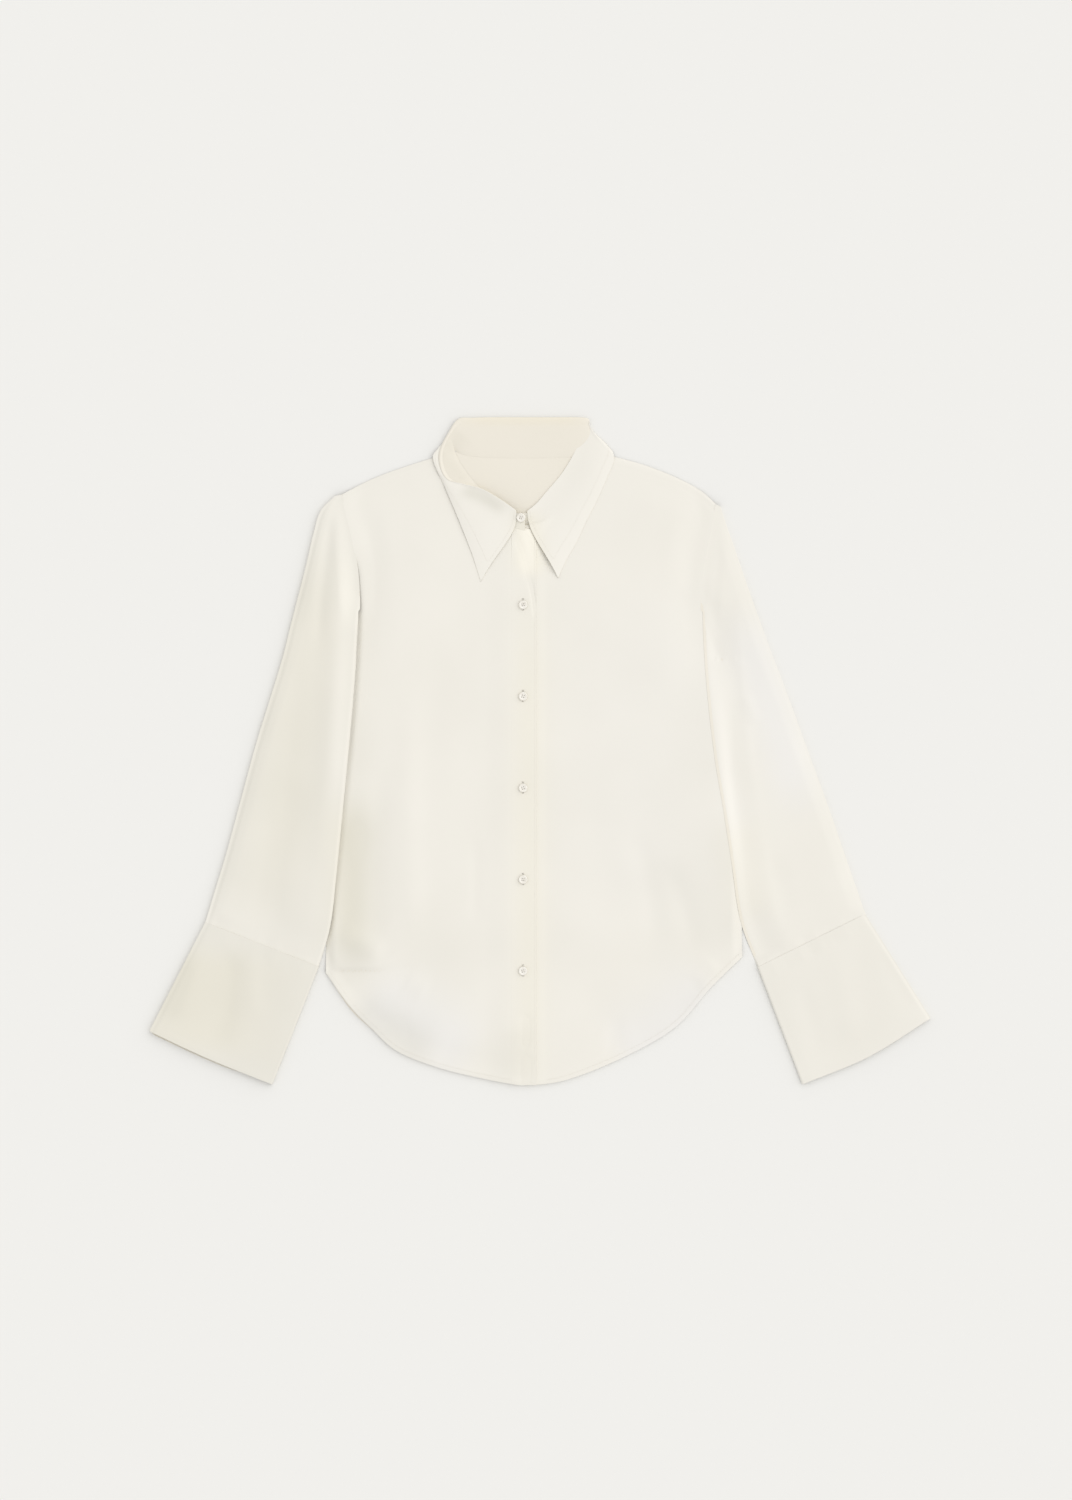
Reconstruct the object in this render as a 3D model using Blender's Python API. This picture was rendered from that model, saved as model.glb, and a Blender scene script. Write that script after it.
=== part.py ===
"""A cream silk blouse laid out flat on its back: long sleeves with deep flared cuffs, a pointed
collar on a stand, a button band down the front and a rounded shirt-tail hem.

Every piece is a wall of cloth. Sizes are in millimetres and are scaled to metres when a mesh is
made. X runs to the wearer's left, Y towards the collar and Z up from the table. The origin is on
the table under the middle of the whole blouse.
"""

import bmesh
import bpy
import numpy as np

MM = 0.001

# Cloth and seams.
CLOTH = 1.0  # wall of a single layer
FIRM_CLOTH = 1.2  # wall of the interfaced collar, band and cuffs
SEAM = 0.3  # space between two pieces that meet or lie on each other

# Button band and buttons.
BAND_LEFT = -32.0
BAND_RIGHT = -4.0
BAND_RAMP = 30.0  # the right front rises to the band over this distance
BUTTON_X = -19.0
BUTTON_DIAMETER = 10.0
BUTTON_HEIGHT = 2.2
BUTTON_RIM = 0.5
FIRST_BUTTON_Y = 162.4
BUTTON_SPACING = 102.4
BUTTON_COUNT = 5
NECK_BUTTON_X = -21.4
NECK_BUTTON_Y = 260.5

# Outline of the body, with its corners at the side seams. Columns: x, y.
HEM = (
    (-239.7, -249.5), (-213.0, -286.5), (-188.0, -312.0), (-160.0, -337.0), (-112.0, -356.0),
    (-60.0, -368.5), (-16.0, -375.0), (30.0, -369.0), (97.0, -342.0), (152.0, -309.5),
    (190.0, -267.0), (226.2, -231.5),
)
# Armholes, from the underarm up to the shoulder. The first four points lie under the sleeve.
ARMHOLE_RIGHT = ((-236.5, 65.0), (-222.0, 104.0), (-208.0, 134.0), (-202.7, 157.0),
                 (-203.5, 185.0), (-206.5, 213.0), (-213.0, 246.0), (-222.9, 285.5))
ARMHOLE_LEFT = ((223.5, 67.0), (204.0, 104.0), (188.0, 134.0), (181.4, 155.0),
                (181.4, 180.0), (184.5, 208.0), (190.4, 238.0), (197.5, 274.5))
HIDDEN_POINTS = 3
# Shoulders, from the armhole to the neck.
SHOULDER_RIGHT = (ARMHOLE_RIGHT[-1], (-192.0, 301.5), (-161.5, 313.5), (-117.0, 328.0),
                  (-97.0, 334.0))
SHOULDER_LEFT = (ARMHOLE_LEFT[-1], (178.0, 291.5), (148.0, 307.0), (112.0, 320.5), (70.0, 331.5))
# Neck edges, from the shoulder to the centre front, and across the back.
NECK_RIGHT = (SHOULDER_RIGHT[-1], (-91.0, 320.0), (-78.0, 302.0), (-63.0, 285.0), (-47.0, 267.5),
              (-32.3, 250.0))
NECK_LEFT = (SHOULDER_LEFT[-1], (64.0, 318.0), (51.0, 297.0), (33.0, 277.5), (13.0, 261.5),
             (-4.0, 253.5), (-31.0, 251.0))
NECK_BAND = ((BAND_LEFT, 249.5), (-18.0, 244.5), (BAND_RIGHT, 243.5))
NECK_BACK = (SHOULDER_LEFT[-1], (52.0, 328.5), (24.0, 326.5), (-18.0, 325.5), (-60.0, 326.5),
             (-84.0, 329.0), SHOULDER_RIGHT[-1])

# Sleeves. The inner line runs from the armhole down the fold that lies on the front, and the
# outer line from the shoulder down the outer fold. Both end at the cuff.
SLEEVE_RIGHT_INNER = ((-204.5, 120.0), (-207.0, 75.0), (-212.5, 10.0), (-219.5, -62.0),
                      (-227.0, -138.0), (-234.0, -196.0), (-247.5, -243.5))
SLEEVE_RIGHT_OUTER = ((-229.5, 284.0), (-245.5, 267.0), (-253.5, 241.0), (-262.0, 204.5),
                      (-276.0, 150.0), (-288.0, 102.5), (-302.5, 55.0), (-317.5, 6.5),
                      (-334.0, -54.0), (-350.0, -113.0), (-363.0, -156.0), (-374.5, -193.5))
SLEEVE_LEFT_INNER = ((182.5, 118.0), (186.5, 62.0), (194.5, -8.0), (204.5, -68.0),
                     (213.5, -126.0), (223.5, -190.0), (243.5, -244.0))
SLEEVE_LEFT_OUTER = ((201.5, 272.5), (208.0, 252.0), (217.5, 225.0), (234.5, 175.5),
                     (256.5, 114.5), (277.0, 60.5), (301.0, -5.5), (325.0, -71.5),
                     (343.5, -125.5), (364.0, -184.5))
SLEEVE_EDGE = 1.3  # half the height of a sleeve where its cloth turns over
SLEEVE_LIFT = 1.3
SLEEVE_LIFT_LIMIT = 3.3
SLEEVE_STEP = 15.0  # a sleeve comes down to the table from this far past the body's side
SLEEVE_STEP_RUN = 16.0
ARMHOLE_CLIMB = 60.0  # length of armhole over which a sleeve climbs onto the front
CUFF_CLIMB = 34.0  # the same where it comes down again above the cuff

# Cuffs: the two corners of the opening, inner then outer, and how far the opening bows out.
CUFF_RIGHT = ((-299.5, -374.0), (-437.0, -314.5), 2.0)
CUFF_LEFT = ((293.5, -374.0), (437.0, -300.0), 6.5)
CUFF_EDGE = 1.6
CUFF_LIFT = 0.4
CUFF_UNDERLAP = 2.2  # the under layer shows this far past the upper one at the opening

# Where the cloth of a sleeve or cuff turns over. Columns: distance in from the edge, share of the
# half height there.
TURN = ((0.0, 0.45), (1.2, 0.85), (3.5, 1.0))
PUFF_RUN = 14.0  # a tube rises from its edge to its full lift over this distance

# Heights of the front over the back, and of a sleeve over the front.
FRONT_LIFT = 2.4
TAIL_LIFT = 0.7  # below the hips, where the side seams end
HIP_Y = -242.0
HIP_SLOPE_RIGHT = 14.0  # the lift changes over this distance at the right hip, where it is creased
HIP_SLOPE = 54.0
LIFT_LIMIT = 3.2
SIDE_RUN = 46.0  # the front rises from its sides and shoulders over this distance
HEM_RUN = 34.0
COLLAR_REACH = 95.0  # the collar holds the front down this far from the back of the neck
COLLAR_RUN = 70.0
FRONT_TOP = CLOTH + SEAM + CLOTH  # the front's upper face along its edges
OVER_FRONT = FRONT_TOP + 0.4  # a sleeve's underside where it lies on the front

# Folds. Columns: start x, start y, end x, end y, half width, height.
FRONT_FOLDS = (
    (-146.0, 60.0, -140.0, -255.0, 16.0, 0.8),
    (-183.0, -20.0, -188.0, -225.0, 15.0, -0.9),
    (-222.0, -205.0, -178.0, -232.0, 12.0, 1.2),
    (-100.0, -60.0, -96.0, -240.0, 14.0, 0.6),
    (-76.0, -110.0, -72.0, -250.0, 10.0, -0.5),
    (106.0, -95.0, 128.0, -215.0, 13.0, -0.8),
    (140.0, -130.0, 172.0, -222.0, 12.0, -0.8),
    (196.0, -70.0, 210.0, -205.0, 14.0, -0.9),
    (168.0, 110.0, 182.0, -60.0, 14.0, 0.7),
    (-190.0, 262.0, -192.0, 150.0, 12.0, -0.8),
)
SLEEVE_RIGHT_FOLDS = (
    (-224.0, 262.0, -222.0, -20.0, 10.0, 2.0),
    (-232.0, 262.0, -248.0, 100.0, 9.0, -1.2),
    (-250.0, 150.0, -270.0, -60.0, 15.0, -0.8),
    (-296.0, 60.0, -338.0, -130.0, 16.0, 0.7),
    (-268.0, -80.0, -284.0, -190.0, 14.0, 0.6),
)
SLEEVE_LEFT_FOLDS = (
    (195.0, 150.0, 212.0, -5.0, 10.0, 2.0),
    (208.0, 15.0, 234.0, -165.0, 10.0, 1.8),
    (198.0, 250.0, 194.0, 150.0, 8.0, -0.9),
    (226.0, 130.0, 254.0, -110.0, 16.0, -0.8),
    (268.0, 20.0, 306.0, -130.0, 18.0, 0.7),
)

# Collar, from the wearer's left front round the back of the neck to the right front. The seam
# column counts along the neck: 0 to 1 up the left front, 1 to 2 across the back and 2 to 3 down
# the right front. Columns: seam, fold x, y, z, free edge x, y, bulge of the leaf.
COLLAR = (
    (0.12, -14.4, 267.5, 7.4, 20.2, 192.6, 2.0),
    (0.22, -4.0, 276.0, 10.0, 29.5, 213.0, 2.5),
    (0.36, 8.0, 290.0, 14.5, 40.5, 232.0, 3.0),
    (0.52, 24.0, 309.0, 18.0, 52.5, 257.5, 3.0),
    (0.70, 37.0, 330.0, 19.0, 65.0, 282.0, 3.0),
    (0.86, 46.0, 349.0, 17.0, 75.5, 306.0, 2.5),
    (1.00, 53.0, 364.0, 12.0, 83.0, 326.0, 1.5),
    (1.09, 54.5, 370.5, 8.0, 76.0, 340.0, 0.0),
    (1.20, 44.0, 372.0, 5.4, 58.0, 339.0, 0.0),
    (1.35, 18.0, 372.0, 5.0, 24.0, 336.0, 0.0),
    (1.50, -16.0, 372.0, 5.0, -17.0, 335.5, 0.0),
    (1.65, -50.0, 372.0, 5.2, -58.0, 336.0, 0.0),
    (1.80, -76.0, 371.5, 6.5, -90.0, 338.5, 0.0),
    (1.92, -91.5, 370.0, 10.5, -108.5, 339.0, 0.0),
    (2.00, -102.0, 355.0, 17.5, -119.0, 331.5, 1.0),
    (2.10, -112.0, 335.0, 22.5, -119.0, 322.5, 1.5),
    (2.20, -111.5, 317.0, 24.5, -114.5, 311.0, 2.0),
    (2.30, -103.5, 303.0, 24.5, -108.5, 299.0, 2.5),
    (2.42, -87.0, 298.0, 23.0, -99.0, 277.0, 3.0),
    (2.56, -65.0, 292.0, 19.5, -87.0, 248.0, 3.0),
    (2.72, -45.5, 281.0, 15.0, -75.5, 218.0, 2.5),
    (2.86, -27.0, 268.0, 11.4, -66.2, 188.5, 2.0),
)
STAND_LEFT_END = (0.03, -28.0, 268.0, 6.6)  # columns: seam, fold x, y, z
STAND_RIGHT_END = (2.905, -17.0, 266.0, 10.4)
COLLAR_SECTIONS = 58
STAND_SHARE = 0.84  # the stand reaches this share of the way from its seam to the fold
STAND_FOOT = 1.95  # middle of the wall at the seam
STAND_FOOT_ON_BAND = 3.4
STAND_LEAN = 1.2  # extra room where the stand leans out over the right front
LEAN_FROM, LEAN_TO, NEAR_BAND = 1.9, 2.7, 2.5  # places along the neck, counted as in the table
FOLD_RADIUS = 1.6
LEAF_DROP = 0.3  # share of the leaf that runs straight down from the fold
LEAF_FLAT = 0.45  # share of the leaf that lies on the front
NECK_AIM = (-18.0, 420.0)  # the stand leans from its seam towards this point
TABLE_TO_BODY = 6.0  # the leaf climbs from the table to the front over this distance


def smooth(t):
    """0 up to 1 with no corner at either end."""
    t = np.clip(t, 0.0, 1.0)
    return t * t * (3.0 - 2.0 * t)


def through(points, count):
    """That many points, evenly spaced, on a smooth curve through the given points."""
    points = np.array(points, float)
    before = 2.0 * points[:1] - points[1:2]
    after = 2.0 * points[-1:] - points[-2:-1]
    knots = np.concatenate([before, points, after])
    t = np.linspace(0.0, 1.0, 13)[:-1, None]
    pieces = []
    for a, b, c, d in zip(knots, knots[1:], knots[2:], knots[3:]):
        pieces.append(
            0.5 * (2 * b + (c - a) * t + (2 * a - 5 * b + 4 * c - d) * t**2
                   + (3 * b - a - 3 * c + d) * t**3)
        )
    fine = np.concatenate([*pieces, points[-1:]])
    return along(fine, np.linspace(0.0, 1.0, count))


def along(line, shares):
    """Points of a fine line at those shares of its length."""
    steps = np.linalg.norm(np.diff(line[:, :3], axis=0), axis=1)
    run = np.concatenate([[0.0], np.cumsum(steps)])
    wanted = np.asarray(shares) * run[-1]
    return np.stack([np.interp(wanted, run, line[:, k]) for k in range(line.shape[1])], axis=-1)


def joined(*curves):
    """Curves end to end, each starting on the last point of the one before."""
    return np.concatenate([curves[0]] + [curve[1:] for curve in curves[1:]])


def unit(vectors):
    return vectors / np.linalg.norm(vectors, axis=-1, keepdims=True)


def patch(bottom, top, left, right):
    """A grid filled in between four border curves that share their corners."""
    u = np.linspace(0.0, 1.0, len(bottom))[None, :, None]
    v = np.linspace(0.0, 1.0, len(left))[:, None, None]
    rows = (1 - v) * bottom[None] + v * top[None]
    columns = (1 - u) * left[:, None] + u * right[:, None]
    corners = ((1 - u) * (1 - v) * bottom[0] + u * (1 - v) * bottom[-1]
               + (1 - u) * v * top[0] + u * v * top[-1])
    return rows + columns - corners


def x_at(curve, y):
    """The x of a curve at a height y."""
    fine = through(curve, 160)
    fine = fine[np.argsort(fine[:, 1])]
    return np.interp(y, fine[:, 1], fine[:, 0])


def y_at(curve, x):
    """The y of a curve at a place x."""
    fine = through(curve, 240)
    fine = fine[np.argsort(fine[:, 0])]
    return np.interp(x, fine[:, 0], fine[:, 1])


def shoulder_y(x):
    return np.where(x < NECK_AIM[0], y_at(SHOULDER_RIGHT, x), y_at(SHOULDER_LEFT, x))


def top_edge_y(x):
    """The highest y of the body at a place x: a shoulder, or the back of the neck."""
    at_neck = (x > SHOULDER_RIGHT[-1][0]) & (x < SHOULDER_LEFT[-1][0])
    return np.where(at_neck, y_at(NECK_BACK, x), shoulder_y(x))


def relief(x, y, folds):
    """Height that the folds add at a point."""
    total = np.zeros_like(x)
    for x0, y0, x1, y1, half_width, height in folds:
        length = np.hypot(x1 - x0, y1 - y0)
        dx, dy = (x1 - x0) / length, (y1 - y0) / length
        run = ((x - x0) * dx + (y - y0) * dy) / length
        off = (x - x0) * dy - (y - y0) * dx
        ends = smooth((run + 0.12) / 0.34) * smooth((1.12 - run) / 0.34)
        total += height * ends * np.exp(-((off / half_width) ** 2))
    return total


def inner_line(armhole, sleeve_inner):
    """The visible armhole, from the shoulder down, and on down the sleeve's inner fold."""
    return tuple(armhole[:HIDDEN_POINTS - 1:-1]) + tuple(sleeve_inner)


def front_lift(x, y):
    """Height of the front's underside over the back."""
    right = x - x_at(inner_line(ARMHOLE_RIGHT, SLEEVE_RIGHT_INNER), y)
    left = x_at(inner_line(ARMHOLE_LEFT, SLEEVE_LEFT_INNER), y) - x
    inside = smooth(right / SIDE_RUN) * smooth(left / SIDE_RUN)
    inside *= smooth((y - y_at(HEM, x)) / HEM_RUN) * smooth((shoulder_y(x) - y) / SIDE_RUN)
    neck = np.hypot(x - NECK_AIM[0], y - SHOULDER_RIGHT[-1][1])
    inside *= 0.1 + 0.9 * smooth((neck - COLLAR_REACH) / COLLAR_RUN)
    off_crease = smooth((x - HEM[2][0]) / COLLAR_RUN)
    hip_slope = HIP_SLOPE_RIGHT + (HIP_SLOPE - HIP_SLOPE_RIGHT) * off_crease
    height = TAIL_LIFT + (FRONT_LIFT - TAIL_LIFT) * smooth((y - HIP_Y) / hip_slope)
    folds = relief(x, y, FRONT_FOLDS)
    return SEAM + np.clip(inside * height + smooth(inside * 3.0) * folds, 0.0, LIFT_LIMIT)


def front_left_under(x, y):
    return CLOTH + front_lift(x, y)


def front_right_under(x, y):
    """The front rises towards its band, which lies on the other front."""
    rise = (CLOTH + SEAM) * smooth((x - BAND_LEFT + BAND_RAMP) / BAND_RAMP)
    return CLOTH + front_lift(x, y) + rise


def band_under(x, y):
    return CLOTH + front_lift(x, y) + CLOTH + SEAM


def material(name, colour, roughness):
    made = bpy.data.materials.new(name)
    made.use_nodes = True
    shader = made.node_tree.nodes["Principled BSDF"]
    shader.inputs["Base Color"].default_value = (*colour, 1.0)
    shader.inputs["Roughness"].default_value = roughness
    shader.inputs["Metallic"].default_value = 0.0
    return made


def solid(name, points, faces, finish):
    """One closed mesh object from points in millimetres."""
    mesh = bpy.data.meshes.new(name)
    mesh.from_pydata([tuple(p) for p in np.asarray(points) * MM], [], faces)
    work = bmesh.new()
    work.from_mesh(mesh)
    bmesh.ops.recalc_face_normals(work, faces=work.faces)
    bmesh.ops.triangulate(work, faces=work.faces)
    work.to_mesh(mesh)
    work.free()
    mesh.shade_smooth()
    mesh.materials.append(finish)
    made = bpy.data.objects.new(name, mesh)
    bpy.context.scene.collection.objects.link(made)
    return made


def wall(name, front, back, finish, closed_from=None):
    """A wall between two grids of points with the same rows and columns.

    With closed_from, each row from that one on is a closed ring round a tube.
    """
    rows, columns = front.shape[:2]
    closed_from = rows if closed_from is None else closed_from

    def at(i, j, layer=0):
        return (layer * rows + i) * columns + j % columns

    faces = []
    for i in range(rows - 1):
        for j in range(columns if i >= closed_from else columns - 1):
            for layer in (0, 1):
                faces.append((at(i, j, layer), at(i, j + 1, layer), at(i + 1, j + 1, layer),
                              at(i + 1, j, layer)))
    last = columns - 1
    first_edge = [(0, j) for j in range(columns)]
    last_edge = [(rows - 1, j) for j in range(columns)]
    left = [(i, 0) for i in range(min(closed_from, rows - 1) + 1)]
    right = [(i, last) for i in range(min(closed_from, rows - 1) + 1)]
    if closed_from >= rows - 1:
        loops = [first_edge + right[1:] + last_edge[-2::-1] + left[-2:0:-1]]
    elif closed_from == 0:
        loops = [first_edge, last_edge]
    else:
        loops = [first_edge + right[1:] + left[:0:-1], last_edge]
    for loop in loops:
        for (a, b), (c, d) in zip(loop, loop[1:] + loop[:1]):
            faces.append((at(a, b), at(c, d), at(c, d, 1), at(a, b, 1)))
    points = np.concatenate([front.reshape(-1, 3), back.reshape(-1, 3)])
    return solid(name, points, faces, finish)


def panel(name, grid, under, thickness, finish):
    height = under(grid[..., 0], grid[..., 1])[..., None]
    lower = np.concatenate([grid, height], axis=-1)
    upper = np.concatenate([grid, height + thickness], axis=-1)
    return wall(name, upper, lower, finish)


def side_line(side_foot, armhole, side_rows, armhole_rows):
    """The side seam and the armhole above it."""
    return joined(through((side_foot, armhole[0]), side_rows + 1), through(armhole, armhole_rows + 1))


def front_grid(edge, side, side_rows=24, armhole_rows=12, shoulder_columns=7, neck_columns=8):
    """One front from its side seam to the straight edge near the middle."""
    armhole, shoulder, neck = ((ARMHOLE_RIGHT, SHOULDER_RIGHT, NECK_RIGHT) if side < 0
                               else (ARMHOLE_LEFT, SHOULDER_LEFT, NECK_LEFT))
    corner = (edge, float(y_at(HEM, edge)))
    outer = [p for p in (HEM if side < 0 else HEM[::-1]) if (edge - p[0]) * -side > 8.0]
    bottom = through([*outer, corner], shoulder_columns + neck_columns + 1)
    top = joined(through(shoulder, shoulder_columns + 1), through(neck, neck_columns + 1))
    left = side_line(outer[0], armhole, side_rows, armhole_rows)
    right = through((bottom[-1], top[-1]), side_rows + armhole_rows + 1)
    return patch(bottom, top, left, right)


def back_grid(side_rows=14, armhole_rows=10, shoulder_columns=6, neck_columns=12):
    bottom = through(HEM, 2 * shoulder_columns + neck_columns + 1)
    top = joined(through(SHOULDER_RIGHT, shoulder_columns + 1),
                 through(NECK_BACK[::-1], neck_columns + 1),
                 through(SHOULDER_LEFT[::-1], shoulder_columns + 1))
    left = side_line(HEM[0], ARMHOLE_RIGHT, side_rows, armhole_rows)
    right = side_line(HEM[-1], ARMHOLE_LEFT, side_rows, armhole_rows)
    return patch(bottom, top, left, right)


def band_grid(rows=38, columns=3):
    xs = np.linspace(BAND_LEFT, BAND_RIGHT, columns + 1)
    bottom = np.stack([xs, y_at(HEM, xs)], axis=1)
    top = np.stack([xs, y_at(NECK_BAND, xs)], axis=1)
    left = through((bottom[0], top[0]), rows + 1)
    right = through((bottom[-1], top[-1]), rows + 1)
    return patch(bottom, top, left, right)


def tube_rings(grid, base, lift, thickness, edge, open_rows=0, underlap=(0.0, 0.0)):
    """Outer and inner rings of a flattened tube whose cloth turns over at both sides.

    The first open_rows rows stay open along the inner side, where they are sewn to the armhole.
    """
    rows, columns = grid.shape[:2]
    width = np.linalg.norm(grid[:, -1] - grid[:, 0], axis=1)[:, None]
    row = np.arange(rows)[:, None]
    is_open = (row < open_rows).astype(float)

    def ring(inset, half_height):
        (_, edge_share), (step, step_share), (flat_from, _) = TURN
        near, far = inset * (1.0 - is_open), width - inset
        low, high = near + flat_from, far - flat_from
        middle = low + (high - low) * np.linspace(0.0, 1.0, columns - 4)[None, :]
        run = np.concatenate([near, near + step, middle, far - step, far], axis=1)
        turn = np.ones_like(run)
        turn[:, -1], turn[:, -2] = edge_share, step_share
        turn[:, :1] = np.maximum(edge_share, is_open)
        turn[:, 1:2] = np.maximum(step_share, is_open)
        place = run / width * (columns - 1)
        left = np.clip(np.floor(place).astype(int), 0, columns - 2)
        mix = (place - left)[..., None]
        flat = (1 - mix) * grid[row, left] + mix * grid[row, left + 1]
        x, y = flat[..., 0], flat[..., 1]
        middle_z = base(x, y) + edge
        from_edge = np.minimum(run + PUFF_RUN / 2 * is_open, width - run)
        puff = lift(x, y) * smooth(from_edge / PUFF_RUN)
        top = np.concatenate([flat, (middle_z + half_height * turn + puff)[..., None]], axis=-1)
        bottom = np.concatenate([flat, (middle_z - half_height * turn)[..., None]], axis=-1)
        bottom[-1, 2:-2, :2] += np.asarray(underlap)
        return np.concatenate([top, bottom[:, ::-1]], axis=1)

    return ring(0.0, edge), ring(thickness, edge - thickness)


def sleeve(name, side, finish, rows=26, columns=13):
    armhole, inner, outer, folds, side_foot = (
        (ARMHOLE_RIGHT, SLEEVE_RIGHT_INNER, SLEEVE_RIGHT_OUTER, SLEEVE_RIGHT_FOLDS, HEM[0])
        if side < 0
        else (ARMHOLE_LEFT, SLEEVE_LEFT_INNER, SLEEVE_LEFT_OUTER, SLEEVE_LEFT_FOLDS, HEM[-1]))
    shift = np.array([side * 0.4, 0.0])
    left = through(inner_line(armhole, inner), rows + 1) + shift
    right = through(outer, rows + 1) + shift
    grid = patch(through((left[0], right[0]), columns), through((left[-1], right[-1]), columns),
                 left, right)
    underarm = armhole[HIDDEN_POINTS]
    edge_line = (side_foot, *armhole[:HIDDEN_POINTS + 1])

    def base(x, y):
        """On the table, or on the side of the front where the sleeve crosses it."""
        gap = (x - x_at(edge_line, np.clip(y, side_foot[1], underarm[1]))) * side
        over = smooth((SLEEVE_STEP + SLEEVE_STEP_RUN - gap) / SLEEVE_STEP_RUN)
        over = over * (1.0 - smooth((y - underarm[1] - 2.0) / ARMHOLE_CLIMB))
        return OVER_FRONT * over * smooth((y - inner[-1][1] - 4.0) / CUFF_CLIMB)

    def lift(x, y):
        ends = smooth((y - inner[-1][1] + 20.0) / CUFF_CLIMB) * smooth((armhole[-1][1] - y) / 30.0)
        return np.clip(SLEEVE_LIFT * ends + relief(x, y, folds), 0.0, SLEEVE_LIFT_LIMIT)

    open_rows = int(np.sum(left[:, 1] > underarm[1]))
    rings = tube_rings(grid, base, lift, CLOTH, SLEEVE_EDGE, open_rows)
    return wall(name, *rings, finish, closed_from=open_rows)


def cuff(name, side, finish, rows=7, columns=12):
    inner, outer, (open_inner, open_outer, bow) = (
        (SLEEVE_RIGHT_INNER[-1], SLEEVE_RIGHT_OUTER[-1], CUFF_RIGHT) if side < 0
        else (SLEEVE_LEFT_INNER[-1], SLEEVE_LEFT_OUTER[-1], CUFF_LEFT))
    seam = np.array([inner, outer]) + np.array([side * 0.4, 0.0])
    opening = np.array([open_inner, open_outer])
    down = unit(opening.mean(axis=0) - seam.mean(axis=0))
    seam = seam + down * SEAM
    bottom = through(seam, columns)
    middle = opening.mean(axis=0) + down * bow
    top = through((opening[0], middle, opening[1]), columns)
    grid = patch(bottom, top, through((seam[0], opening[0]), rows + 1),
                 through((seam[1], opening[1]), rows + 1))

    def base(x, y):
        return np.zeros_like(x)

    def lift(x, y):
        return np.full_like(x, CUFF_LIFT)

    underlap = down * (CUFF_UNDERLAP if side < 0 else 0.0)
    rings = tube_rings(grid, base, lift, FIRM_CLOTH, CUFF_EDGE, 0, underlap)
    return wall(name, *rings, finish, closed_from=0)


def neck_seam(values):
    """Points where the stand starts, just inside the neck edges, with the height of the wall."""
    lines = (through(NECK_LEFT[::-1], 60), through(NECK_BACK, 60),
             through((*NECK_RIGHT, *NECK_BAND[1:]), 60))
    points = []
    for value in values:
        part = min(int(value), 2)
        edge = along(lines[part], value - part)
        leans_out = smooth((value - LEAN_FROM) / 0.2) * smooth((LEAN_TO - value) / 0.2)
        inside = FIRM_CLOTH / 2 + SEAM + 0.4 + STAND_LEAN * leans_out
        start = edge + unit(np.array(NECK_AIM) - edge) * inside
        rise = (STAND_FOOT_ON_BAND - STAND_FOOT) * smooth((value - NEAR_BAND) / 0.2)
        points.append((*start, STAND_FOOT + rise + 0.5 * STAND_LEAN * leans_out))
    return np.array(points)


def resting(x, y):
    """Lowest height for the middle of the collar's wall: clear of the table and the fronts."""
    on_body = smooth((top_edge_y(x) + TABLE_TO_BODY + 2.0 - y) / TABLE_TO_BODY)
    body = front_lift(x, y) + 2.0 * CLOTH + SEAM
    on_band = smooth((x - BAND_LEFT + 34.0) / BAND_RAMP) * smooth((BAND_RIGHT + 9.0 - x) / 8.0)
    return FIRM_CLOTH / 2 + 0.02 + (body + (CLOTH + SEAM) * on_band) * on_body


def spread(rows, count):
    """A table's rows turned into that many sections, smooth along the collar."""
    rows = np.array(rows, float)
    return through(rows[:, [1, 2, 3, *range(4, rows.shape[1]), 0]], count)


def stand_table():
    """The leaf's sections, with the stand's two free ends beyond them."""
    leaf = spread(COLLAR, COLLAR_SECTIONS)[:, [0, 1, 2, -1]]
    left, right = (np.array([[*end[1:], end[0]]]) for end in (STAND_LEFT_END, STAND_RIGHT_END))
    shares = np.linspace(0.0, 1.0, 5)[:-1, None]
    return np.concatenate([left + shares * (leaf[:1] - left), leaf,
                           (right + shares * (leaf[-1:] - right))[::-1]])


def collar_sections(table):
    """Seam point, fold point, direction of the rise and direction out, for each section."""
    fold = table[:, :3]
    seam = neck_seam(table[:, -1])
    rise = unit(fold - seam)
    out = unit(np.cross(np.gradient(fold, axis=0), rise))
    return seam, fold, rise, out


def thickened(middle):
    """Both faces of a wall about a grid of points in its middle."""
    down = np.gradient(middle, axis=0)
    across = np.gradient(middle, axis=1)
    normal = unit(np.cross(down, across))
    return middle + normal * FIRM_CLOTH / 2, middle - normal * FIRM_CLOTH / 2


def collar_stand(finish, columns=4):
    seam, fold, _, _ = collar_sections(stand_table())
    shares = np.linspace(0.0, STAND_SHARE, columns)[None, :, None]
    middle = seam[:, None] + shares * (fold - seam)[:, None]
    return wall("collar_stand", *thickened(middle), finish)


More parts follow.
